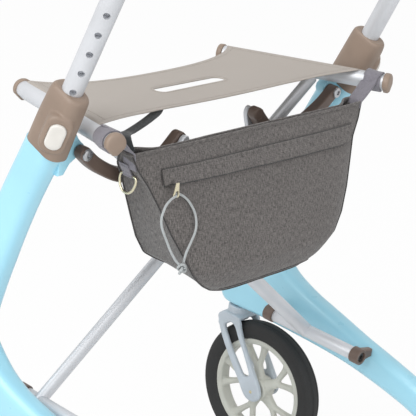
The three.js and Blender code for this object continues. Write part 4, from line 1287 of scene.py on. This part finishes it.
def rim(bm):
    ring = [
        (67, -8.6), (69, -10.2), (75, -10.5), (75.7, -9.8), (75.7, 9.8), (75, 10.5), (69, 10.2),
        (67, 8.6), (66.4, 3), (66.4, -3),
    ]
    turned(bm, ring + [ring[0]], "X", (0, 0, 0), 96)
    hub = [
        (0, -13), (14.8, -13), (16.6, -11.6), (17.6, -7), (17.6, 7), (16.6, 11.6), (14.8, 13),
        (0, 13),
    ]
    turned(bm, hub, "X", (0, 0, 0), 48)
    stem = [(11, 11, 8.5), (18, 8.6, 7.4), (26, 7.4, 6), (34, 7, 5)]
    branch = [
        (0, 3.6, 4.6), (10, 4.2, 4.4), (22, 4.4, 4.6), (32, 5.2, 6), (38, 7.6, 7.6),
        (42, 9.6, 8.4),
    ]
    for number in range(spoke_count):
        turn = 2 * math.pi * number / spoke_count
        out, across = wheel_way(turn)
        spoke(bm, stem, Vector(), out, across)
        for side in (-1, 1):
            tip = wheel_way(turn + side * branch_spread)[0] * branch_end
            way = (tip - out * branch_start).normalized()
            spoke(bm, branch, out * branch_start, way, Vector((1, 0, 0)).cross(way))
    return bm


tyre_master = piece(tyre(bmesh.new()), "tyre_master", tyre_rubber, hard=50)
rim_master = melt(piece(rim(bmesh.new()), "rim_master", hub_plastic), 1.15, 5)
carve(rim_master, tube(bmesh.new(), [(-20, 0, 0), (20, 0, 0)], 5.2, 32))
places = {
    "front_{}_right": (leg_x, wheel_y), "front_{}_left": (-leg_x, wheel_y),
    "rear_{}_right": (290, -wheel_y), "rear_{}_left": (-290, -wheel_y),
}
for stem, (x, y) in places.items():
    move = Matrix.Translation(Vector((x, y, axle_z)) * MM)
    copy_of(tyre_master, "rolling_" + stem.format("tyre"), move, stem.format("tyre"), hard=50)
    copy_of(rim_master, "spoked_" + stem.format("rim"), move, stem.format("rim"))
print("rim", len(rim_master.data.polygons), "faces")
bpy.data.objects.remove(tyre_master)
bpy.data.objects.remove(rim_master)

# %% [markdown]
# ## Rear axles and brake shoes
# A rear wheel turns on a stub that is bolted through the end of the beam, with a shoulder on
# either side of the beam and of the hub. The brake shoe is a small moulded lever over the tyre,
# pivoted on a pin through the beam. The axle is turned, and the shoe is a plate with round edges.


# %% Rear axles and brake shoes
def rear_axle(side):
    beam_width = 2 * leg_half_depth * lookup(depth_shares, -wheel_y)[0]
    collar_start = beam_inner(-wheel_y) + beam_width + 0.9
    profile = [
        (0, 235.2), (6.8, 235.2), (8, 236.2), (8, 238.3), (5, 238.3), (5, collar_start),
        (8, collar_start), (8, 276.7), (5, 276.7), (5, 303.3), (8, 303.3), (8, 305), (7, 306),
        (2.8, 306), (2.5, 304.4), (0, 304.4),
    ]
    return turned(bmesh.new(), profile, "X", (0, -wheel_y, axle_z), 32)


def brake_shoe(side):
    outline = [
        (-121, 166), (-119, 174), (-124, 181), (-134, 184), (-150, 190), (-166, 202),
        (-172, 204), (-178, 200), (-178.3, 194.3), (-163, 184.7), (-150, 175.7),
        (-142.2, 167.1), (-135, 163.4), (-127, 161),
    ]
    bm = bmesh.new()
    plate(bm, smooth_line(outline, 3, True), "X", 279, 301, 2, 4)
    pin = [(0, 254), (3.6, 254), (4, 254.4), (4, 299), (0, 299)]
    return turned(bm, pin, "X", (0, -128, 170), 24)


both_sides("rear_spindle", rear_axle, zinc, "rear_axle")
both_sides("brake_block", brake_shoe, dark_taupe, "brake_shoe", even_normals)

# %% [markdown]
# ## Seat surface
# The seat is one width of canvas. Both sides are held in a slot along the top of the rails, so
# it hangs in a shallow trough, and its front and rear edges are cut in a curve. One function
# says where each spot of the cloth lies: cloth, seams and hems all read it, so they agree.

# %% Seat surface
seat_rear_dip, seat_front_dip, seat_sag = 22, 30, 8
rail_top = 11.5
slot_y = 210
slot_shape = rounded_box(60, 10, 9.9, 10)


def seat_edges(u):
    slack = 1 - abs(u) ** 4
    return 128 + seat_rear_dip * slack, 305 - seat_front_dip * slack


def seat_top(u, v, lift=0.0):
    rear, front = seat_edges(u)
    y = rear + (front - rear) * v
    line = rail_at(y)
    slack = seat_sag * (1 - u * u)
    ripple = 0.7 * math.sin(5.2 * u + 3.1 * v) * (1 - u * u) * math.sin(math.pi * v)
    pull = 1.1 * math.exp(-((abs(u) - 0.62 - 0.2 * v) ** 2) / 0.006) * (1 - v) * (1 - abs(u))
    tuck = 1.6 * between((abs(u) - 0.985) / 0.015) ** 2
    z = line.z + rail_top + 1.0 - slack + ripple - pull - tuck + lift
    return Vector((u * line.x, y, z))


def cloth_grid(columns, rows, place, size):
    bm = bmesh.new()
    bmesh.ops.create_grid(bm, x_segments=columns, y_segments=rows, size=0.5)
    chart = bm.loops.layers.uv.verify()
    for face in bm.faces:
        for loop in face.loops:
            u, v = loop.vert.co.x + 0.5, loop.vert.co.y + 0.5
            loop[chart].uv = (u * size[0] * MM, v * size[1] * MM)
    for vert in bm.verts:
        vert.co = place(vert.co.x + 0.5, vert.co.y + 0.5)
    return bm


def around_slot(outline, lift):
    points = []
    for a, b in outline:
        u = a / rail_at(slot_y + b).x
        rear, front = seat_edges(u)
        points.append(seat_top(u, (slot_y + b - rear) / (front - rear), lift))
    return points


print("seat dips to", round(seat_top(0, 0.5).z), "mm")

# %% [markdown]
# ## Seat cloth
# The canvas is a grid that is laid on the seat's surface and given the thickness of the cloth.
# A hand slot in the middle is for pulling the walker shut; it is cut through as on a press.


# %% Seat cloth
def thicken(obj, thickness, offset=0.0):
    solid = obj.modifiers.new("thickness", "SOLIDIFY")
    solid.thickness = thickness * MM
    solid.offset = offset
    return obj


def seat_place(u, v):
    return seat_top(2 * u - 1, v)


def blend_seat(obj):
    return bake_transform(obj)


cloth = cloth_grid(220, 60, seat_place, (470, 165))
cloth_area = sum(face.calc_area() for face in cloth.faces) * MM * MM
cloth_width = length_of([seat_place(i / 200, 0.5) for i in range(201)]) * MM
seat = piece(cloth, "seat_canvas", seat_cloth, hard=0)
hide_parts("seat_cloth")
thicken(seat, 1.5)
settle(seat)
punch = [[Vector((a, slot_y + b, z)) for a, b in slot_shape] for z in (560, 640)]
carve(seat, pull_skin(bmesh.new(), punch))
print("seat", len(seat.data.polygons), "faces, cut from", round(cloth_area, 4), "square metres")

# %% [markdown]
# ## Stitches
# A sewn line is a row of short threads that dip into the cloth at both ends. Each one is a
# small tube with six sides, thin at its ends. They are few enough to be real geometry, so they
# catch light and cast shadows at the size that the eye expects.


# %% Stitch rows
def stitch_row(bm, line, radius=0.3, long=2.6, gap=1.1, lift=(0, 0, 0.12)):
    count = max(int(length_of(line) / (long + gap)), 1)
    fine = even_line(line, count * 6 + 1)
    share = long / (long + gap)
    for number in range(count):
        a, b = fine[number * 6], fine[number * 6 + 1].lerp(fine[number * 6 + 6], share)
        way = (b - a).normalized()
        up = Vector(lift).normalized()
        across = way.cross(up).normalized()
        up = across.cross(way)
        rings = []
        for at, size, high in ((0, 0.3, 0), (0.2, 1, 1), (0.8, 1, 1), (1, 0.3, 0)):
            centre = a.lerp(b, at) + Vector(lift) * high
            rings.append(placed(circle(radius * size, 6), centre, across, up))
        pull_skin(bm, rings)
    return bm


def seat_line(u_start, u_end, v_start, v_end, steps=80, lift=0.8):
    line = []
    for i in range(steps + 1):
        t = i / steps
        line.append(seat_top(u_start + (u_end - u_start) * t, v_start + (v_end - v_start) * t, lift))
    return line


seams = bmesh.new()
for v in (0.04, 0.96):
    stitch_row(seams, seat_line(-0.97, 0.97, v, v, 160))
for u in (-0.94, 0.94):
    stitch_row(seams, seat_line(u, u, 0.03, 0.97))
stitch_row(seams, around_slot(rounded_box(63, 13, 12.9, 10) + [(63, 0)], 0.8))
stitches = piece(seams, "seat_stitches", seat_thread, hard=0)
print("stitches", len(stitches.data.polygons), "faces")

# %% [markdown]
# ## Hems, slot binding and webbing
# The seat's front and rear edges are folded over and the slot is bound, so these edges are
# thicker than the cloth. Each is a flat rounded section pulled along the edge. A strip of dark
# webbing runs under the rear corner to the side where the bag's cord is.

# %% Hems and webbing
bands = bmesh.new()
for v in (0.0, 1.0):
    tube(bands, seat_line(-0.985, 0.985, v, v, 120, 0), 1.05, 12, (0, 0, 1))
ring_tube(bands, around_slot(slot_shape, 0), 1.0, 10)
hems = piece(bands, "seat_hems", seat_cloth, hard=0)

strip = [
    (-96, 170, 603), (-109, 160, 603.8), (-125, 150, 602.5), (-150, 143, 598), (-178, 136, 594.5),
    (-193, 129, 596.5), (-201, 121, 596), (-204, 114, 590), (-204, 109, 583),
]
bm = tube(bmesh.new(), smooth_line(strip, 10), 6.2, 24, (0, 0, 1), 0.16)
webbing = piece(bm, "corner_webbing", dark_web, hard=60)
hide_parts("seat_webbing")
for obj in (seat, stitches, hems, webbing):
    blend_seat(obj)
print("seat dressed")

# %% [markdown]
# ## Bag
# The bag hangs behind and under the seat's rear edge. Its rear panel is wide at the mouth and
# narrow below, a deep gusset joins it to the front, and the seams between them are piped. One
# ring of points per height is pulled from the mouth down to the floor of the bag; the rings
# carry the sag, the folds that run from the straps, and the hollow of the gusset. A row of the
# table is a height with the half width, the rear panel, how far the seam lies in front of it,
# and the front panel in its middle and at its side.

# %% Bag section
bag_table = [
    (407, 84, 54, 8, 92, 96), (410, 92, 50, 10, 100, 104), (420, 110, 45, 12, 108, 118),
    (430, 123, 43.4, 12.5, 111, 126), (440, 133, 42, 13, 113, 132), (462, 147, 47, 12, 113, 135),
    (490, 163, 57, 12, 113, 132), (520, 176, 69, 11, 113, 133), (545, 188, 80, 10, 110, 132),
    (565, 202, 89, 7, 107, 128), (583, 210, 98, 3, 103.5, 119),
]
bag_low, bag_high = bag_table[0][0], bag_table[-1][0]


def bag_half(z):
    return lookup(bag_table, z)[0]


def panel_y(x, z):
    half, rear, recede = lookup(bag_table, z)[:3]
    return rear + recede * min(abs(x) / half, 1) ** 8 - bag_fold(x, z)


def bag_fold(x, z):
    half = bag_half(z)
    u = between(abs(x) / half)
    fade = (1 - u * u) ** 1.5
    low = between((z - bag_low) / (bag_high - bag_low))
    sag = 3.4 * math.sin(math.pi * low) * fade
    soft = 1.3 * noise.noise(Vector((x / 42, z / 26, 3))) * fade
    crease = 0.7 * noise.noise(Vector(((x + z * 0.7) / 17, (z - x * 0.3) / 60, 9))) * fade
    corner = Vector((abs(x) - half, z - 575)).length
    pull = 0.9 * math.sin((abs(x) * 0.8 + z) / 6.5) * math.exp(-((corner / 50) ** 2)) * fade**0.5
    return sag + soft + crease + pull


def bag_ring(z):
    half, rear, recede, middle, side = lookup(bag_table, z)
    ring = []
    for i in range(41):
        x = (half - 0.8) * i / 40
        ring.append(Vector((x, panel_y(x, z), z)))
    edge = rear + recede
    raise_front = 12 * max(1 - (z - bag_low) / 33, 0)
    for i in range(1, 15):
        t = i / 14
        hollow = 2.2 * math.sin(math.pi * t) ** 0.5 * min((side - edge) / 40, 1)
        wave = 1.2 * noise.noise(Vector((t * 2.6, z / 19, 5))) * math.sin(math.pi * t)
        y = edge + 0.8 + (side - 1.5 - edge) * t
        ring.append(Vector((half - hollow - wave, y, z + raise_front * t)))
    for i in range(1, 31):
        x = (half - 2) * (1 - i / 30)
        share = ease(between((half - 9 - x) / 34))
        swell = 1.1 * noise.noise(Vector((x / 35, z / 22, 12)))
        y = side + (middle - side) * share + swell * (1 - (x / half) ** 4)
        ring.append(Vector((x, y, z + raise_front)))
    return ring + [Vector((-p.x, p.y, p.z)) for p in ring[-2:0:-1]]


def bag_rings():
    rings = [bag_ring(bag_high - (bag_high - bag_low) * i / 60) for i in range(61)]
    lowest = rings[-1]
    middle = sum(lowest, Vector()) / len(lowest)
    for share, drop in ((0.97, 0.8), (0.86, 1.3), (0.6, 1.5), (0.3, 1.6), (0.06, 1.6)):
        rings.append([middle.lerp(p, share) - Vector((0, 0, drop)) for p in lowest])
    return rings


shell = pull_skin(bmesh.new(), bag_rings()[::-1], caps=False)
bag = piece(shell, "bag_shell", bag_cloth, "bag_body", hard=48)
bag_middle = Vector((0, 0.1, 0.5))
if sum(f.normal.dot(f.center - bag_middle) for f in bag.data.polygons) < 0:
    bag.data.flip_normals()
    print("bag faces turned outward")
thicken(bag, 1.8, -1)
print("bag", len(bag.data.polygons), "faces")

# %% [markdown]
# ## Bag trim
# Piping is a cord sewn into the seam, here a thin tube along each seam of the gusset, and a
# flat binding closes the mouth. Piping, the flap's edges and its stitches share one dark colour:
# the thread's own, and painted shade in the seams and along the flap's edges. The zip lies under
# a flap whose free edge stands off the panel and throws a little shade; the zip's dark coil just
# below that edge makes it a painted shadow line. Over the slider the flap is lifted a little, so
# the pull can hang out.

# %% Piping, flap and zip
def seam_path(front):
    right = []
    for i in range(53):
        z = bag_high - 1 - (bag_high - bag_low - 3) * i / 52
        ring = bag_ring(z)
        spot = ring[54] if front else ring[40]
        right.append(spot + Vector((0.4, 0.3 if front else -0.1, 0)))
    ring = bag_ring(bag_low)
    floor_line = [ring[k] for k in (range(57, 113, 5) if front else list(range(36, 0, -4)) + [0])]
    if not front:
        floor_line += [Vector((-p.x, p.y, p.z)) for p in floor_line[-2::-1]]
    floor_line = [p - Vector((0, 0, 0.4)) for p in floor_line]
    return right + floor_line + [Vector((-p.x, p.y, p.z)) for p in reversed(right)]


# The piping's dark colour is partly painted shade in the seams.
piping = bmesh.new()
for front in (False, True):
    path = even_line(smooth_line(seam_path(front), 2), 200)
    tube(piping, path, 1.0, 10, (0, 1, 0))
hem_line = [Vector((x, panel_y(x, 412.5) - 0.2, 412.5)) for x in range(-84, 86, 4)]
tube(piping, hem_line, 0.55, 8, (0, 1, 0))
piece(piping, "bag_piping", thread_and_seam_shade, body="bag", hard=60)

mouth = bag_ring(bag_high)
rings = []
for i, point in enumerate(mouth):
    way = (mouth[(i + 1) % len(mouth)] - mouth[i - 1]).normalized()
    out = way.cross(Vector((0, 0, 1))).normalized()
    rings.append(placed(rounded_box(1.5, 2.2, 1.4, 3), point, out, (0, 0, 1)))
rim = pull_skin(bmesh.new(), rings, caps=False, join=True)
piece(rim, "bag_mouth", bag_cloth, body="bag", hard=60)

flap_left, flap_right = -171, 180


def flap_place(u, v):
    x = flap_left + (flap_right - flap_left) * u
    top = 563.5 - 1.2 * u
    low = 547 - 4 * u + 2.2 * math.exp(-(((x - pull_x) / 6) ** 2))
    round_end = between((x - 168) / 12)
    low += (557 - low) * (1 - math.sqrt(max(1 - round_end * round_end, 0)))
    z = top + (low - top) * v
    stand = 1.0 + 1.6 * v + 0.35 * math.sin(x / 19) * v
    stand += 2.2 * v * math.exp(-(((x - pull_x) / 14) ** 2))
    return Vector((x, panel_y(x, z) - stand, z))


flap = cloth_grid(160, 10, flap_place, (350, 18))
flap = piece(flap, "zip_flap", bag_cloth, body="bag", hard=0)
thicken(flap, 1.6)
# Painted shade lines: dark tubes along the flap's top edge and its end.
edge = bmesh.new()
upper = [flap_place(i / 160, 0) + Vector((0, 0.2, 0.5)) for i in range(161)]
tube(edge, upper, 0.75, 8, (0, 1, 0))
end = [flap_place(0, i / 10) + Vector((-0.5, 0.3, 0)) for i in range(11)]
tube(edge, end, 0.6, 8, (1, 0, 0))
piece(edge, "flap_edge_shade_lines", thread_and_seam_shade, body="bag", hard=0)
sewn = bmesh.new()
row = [flap_place(0.01 + 0.98 * i / 120, 0.14) - Vector((0, 0.7, 0)) for i in range(121)]
stitch_row(sewn, row, 0.28, 2.4, 1.0, (0, -0.12, 0))
piece(sewn, "flap_stitches", thread_and_seam_shade, body="bag", hard=0)

# The zip's dark coil peeks out just below the flap's free edge: the zip itself, and a painted shadow
# line under the flap.
coil = [flap_place(i / 240, 1) + Vector((0, 1.5, -0.5)) for i in range(241)]
zip_and_shadow_line = tube(bmesh.new(), coil, [0.95 + 0.3 * (i % 2) for i in range(241)], 8, (0, 1, 0))
piece(zip_and_shadow_line, "zip_coil", dark_web, body="bag", hard=0)
print("bag trimmed")

# %% [markdown]
# ## Bag straps and rings
# Grey webbing goes round each rail, comes down to the bag's corner, and holds a ring of bent
# wire in a sewn tab. The band round the rail is the rail's own outline, grown a little; the
# drop and the tab are strips with the thickness of webbing, and the ring is a closed tube.

# %% Straps and rings
def strap(side):
    rings = [rail_ring(along, 1.25) for along in (3, 4, 9, 14, 19, 24, 25)]
    return pull_skin(bmesh.new(), rings, caps=False)


def strap_thick(obj):
    thicken(obj, 1.7)
    bevel = obj.modifiers.new("soft_edge", "BEVEL")
    bevel.width = 0.35 * MM
    bevel.segments = 2
    settle(obj)


both_sides("rail_band", strap, strap_web, "bag_strap", strap_thick, hard=50)


def strap_drop():
    path = [
        (244, 617.5), (238.5, 616.6), (233.2, 612.5), (230.8, 606), (222, 597), (214, 589.5),
        (208, 584.6), (206.2, 580), (203.5, 572), (200.6, 563),
    ]
    path = smooth_line([Vector((x, 0, z)) for x, z in path], 5)

    def place(u, v):
        at = path[min(int(v * (len(path) - 1) + 0.5), len(path) - 1)]
        rear = 97.5 + 1.5 * v
        return Vector((at.x, rear + (120.5 - 3 * v - rear) * u, at.z))

    return cloth_grid(10, len(path) - 1, place, (20, 75))


def ring_tab():
    bm = bmesh.new()
    for layer in (0.2, 1.7):
        rings = []
        for z in (568, 564, 560, 556, 553):
            middle = Vector((bag_half(z) + layer, 116.5, z))
            rings.append(placed(rounded_box(0.7, 6.8, 0.5, 3), middle, (1, 0, 0), (0, 1, 0)))
        pull_skin(bm, rings)
    roll_x = bag_half(552.6) + 0.6
    tube(bm, [(roll_x, 109.7, 552.2), (roll_x, 123.3, 552.2)], 2.2, 14, (0, 0, 1))
    for z in (565, 557):
        line = [Vector((bag_half(z) + 2.5, 110.5, z)), Vector((bag_half(z) + 2.5, 122.5, z))]
        stitch_row(bm, line, 0.3, 2, 0.9, (0.15, 0, 0))
    return bm


for side in ("right", "left"):
    body = nodes[f"bag_strap_{side}"]["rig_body"]
    for name, make in (("strap_drop", strap_drop), ("ring_tab", ring_tab)):
        bm = make() if side == "right" else mirror(make())
        obj = piece(bm, f"{name}_{side}", strap_web, body=body, hard=50)
        if name == "strap_drop":
            thicken(obj, 1.6)
            settle(obj)

ring_shape = [
    (105.5, 551.6), (111, 552.4), (116.5, 552.6), (122, 552.4), (127.5, 551.6), (128.8, 546),
    (126.6, 538), (121.5, 532.6), (116.5, 531.4), (111.5, 532.6), (106.4, 538), (104.2, 546),
]


def d_ring(side):
    loop = [Vector((193.4 + (552 - z) * 0.08, y, z)) for y, z in ring_shape]
    return ring_tube(bmesh.new(), smooth_line(loop, 6, True), 1.5, 14)


both_sides("wire_ring", d_ring, nickel, "bag_ring", hard=0)

# %% [markdown]
# ## Slider and pull
# The slider is a small casting with a bridge, and a flat pull hangs on the bridge. Body and
# pull are plates with soft edges, the bridge is a thin tube bent in an arch, and the hole that
# the cord goes through is cut last.

# %% Slider and pull
slider = bmesh.new()
body_line = [
    (-166.2, 550), (-164.4, 549.2), (-158.6, 549.2), (-156.8, 550), (-157.8, 555.5),
    (-159.6, 557), (-163.4, 557), (-165.2, 555.5),
]
plate(slider, body_line, "Y", 84.2, 87, 0.9, 3)
arch = [(85.5, 551), (81.5, 549), (77, 547), (74, 547), (72, 547.8)]
tube(slider, smooth_line([(pull_x, y, z) for y, z in arch], 5), 1.1, 12, (1, 0, 0))
pull = [
    (-163.7, 552.6), (-159.3, 552.6), (-158.9, 549), (-158, 543), (-156.9, 539),
    (-156.8, 536.4), (-158.4, 534.9), (-164.6, 534.9), (-166.2, 536.4), (-166.1, 539),
    (-165, 543), (-164.1, 549),
]
plate(slider, pull, "Y", 70.5, 72.5, 0.45, 2)
puller = piece(slider, "zip_puller", nickel, "zip_slider", hard=50)
hole = [
    (-163.6, 543), (-159.4, 543), (-158.9, 540), (-159.2, 537.8), (-160.4, 536.5),
    (-162.6, 536.5), (-163.8, 537.8), (-164.1, 540),
]
carve(puller, plate(bmesh.new(), hole, "Y", 60, 75))
print("slider", len(puller.data.polygons), "faces")

# %% [markdown]
# ## The bag's pieces made final
# When the walker folds, its width shrinks and the bag is pressed together between the sides.
# Here the bag and its trim only follow the bag's own body; their modifiers are applied and each
# gets a mesh of its own.

# %% Settle the bag's pieces
soft_stems = ("bag_shell", "bag_piping", "bag_mouth", "zip_flap", "flap_", "zip_coil")
soft_pieces = [obj for obj in scene.objects if obj.name.startswith(soft_stems)]
for obj in soft_pieces:
    settle(obj)
    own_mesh(obj)
print(len(soft_pieces), "pieces of the bag squash")

# %% [markdown]
# ## Floor
# The picture has a white ground. The floor is mostly glow for the camera and for shiny
# surfaces, so it is white without more light on the walker, and partly matt, so that a faint
# shadow stays.


# %% Floor
def seen_share(owner):
    path = node(owner, "LightPath")
    return sums(owner, "MAXIMUM", path.outputs["Is Camera Ray"], path.outputs["Is Glossy Ray"])


glow_share = 0.94
bm = bmesh.new()
bmesh.ops.create_grid(bm, x_segments=1, y_segments=1, size=12)
ground_mesh = mesh_of(bm, "studio_floor", 1)
ground = bpy.data.objects.new("studio_floor", ground_mesh)
scene.collection.objects.link(ground)
floor = bpy.data.materials.new("studio_floor")
floor.use_nodes = True
floor.node_tree.nodes.clear()
matt = node(floor, "BsdfDiffuse", Color=(0.94, 0.94, 0.94, 1))
glow = node(floor, "Emission", Strength=1.0)
mixed = node(floor, "MixShader")
wire(floor, sums(floor, "MULTIPLY", seen_share(floor), glow_share), mixed.inputs[0])
wire(floor, matt.outputs[0], mixed.inputs[1])
wire(floor, glow.outputs[0], mixed.inputs[2])
wire(floor, mixed.outputs[0], node(floor, "OutputMaterial").inputs["Surface"])
ground_mesh.materials.append(floor)
print("floor laid")

# %% [markdown]
# ## Lamps
# The light is soft and comes from all round, like in a studio with white walls, so the world
# gives most of it. One large lamp at the camera's left lights the left-facing sides and leaves
# the right darker, and a weak one behind the walker's back opens the shadows under the seat.


# %% Lamps
def lamp(name, place, aim, size, power):
    data = bpy.data.lights.new(name, "AREA")
    data.shape = "DISK"
    data.size = size
    data.energy = power
    obj = bpy.data.objects.new(name, data)
    scene.collection.objects.link(obj)
    way = (Vector(aim) - Vector(place)).normalized()
    obj.matrix_world = Matrix.Translation(place) @ way.to_track_quat("-Z", "Y").to_matrix().to_4x4()
    return obj


ambient = 0.62
world = bpy.data.worlds.new("studio")
world.use_nodes = True
sky = world.node_tree.nodes["Background"]
sky.inputs["Color"].default_value = (1, 1, 1, 1)
wire(world, sums(world, "MAXIMUM", seen_share(world), ambient), sky.inputs["Strength"])
scene.world = world
aim = (0, 0, 0.4)
lamp("key", (-2.6, 0.1, 2.6), aim, 3.0, 78)
lamp("rear_fill", (-0.6, -3.0, 1.6), aim, 2.0, 22)
print("lamps placed")
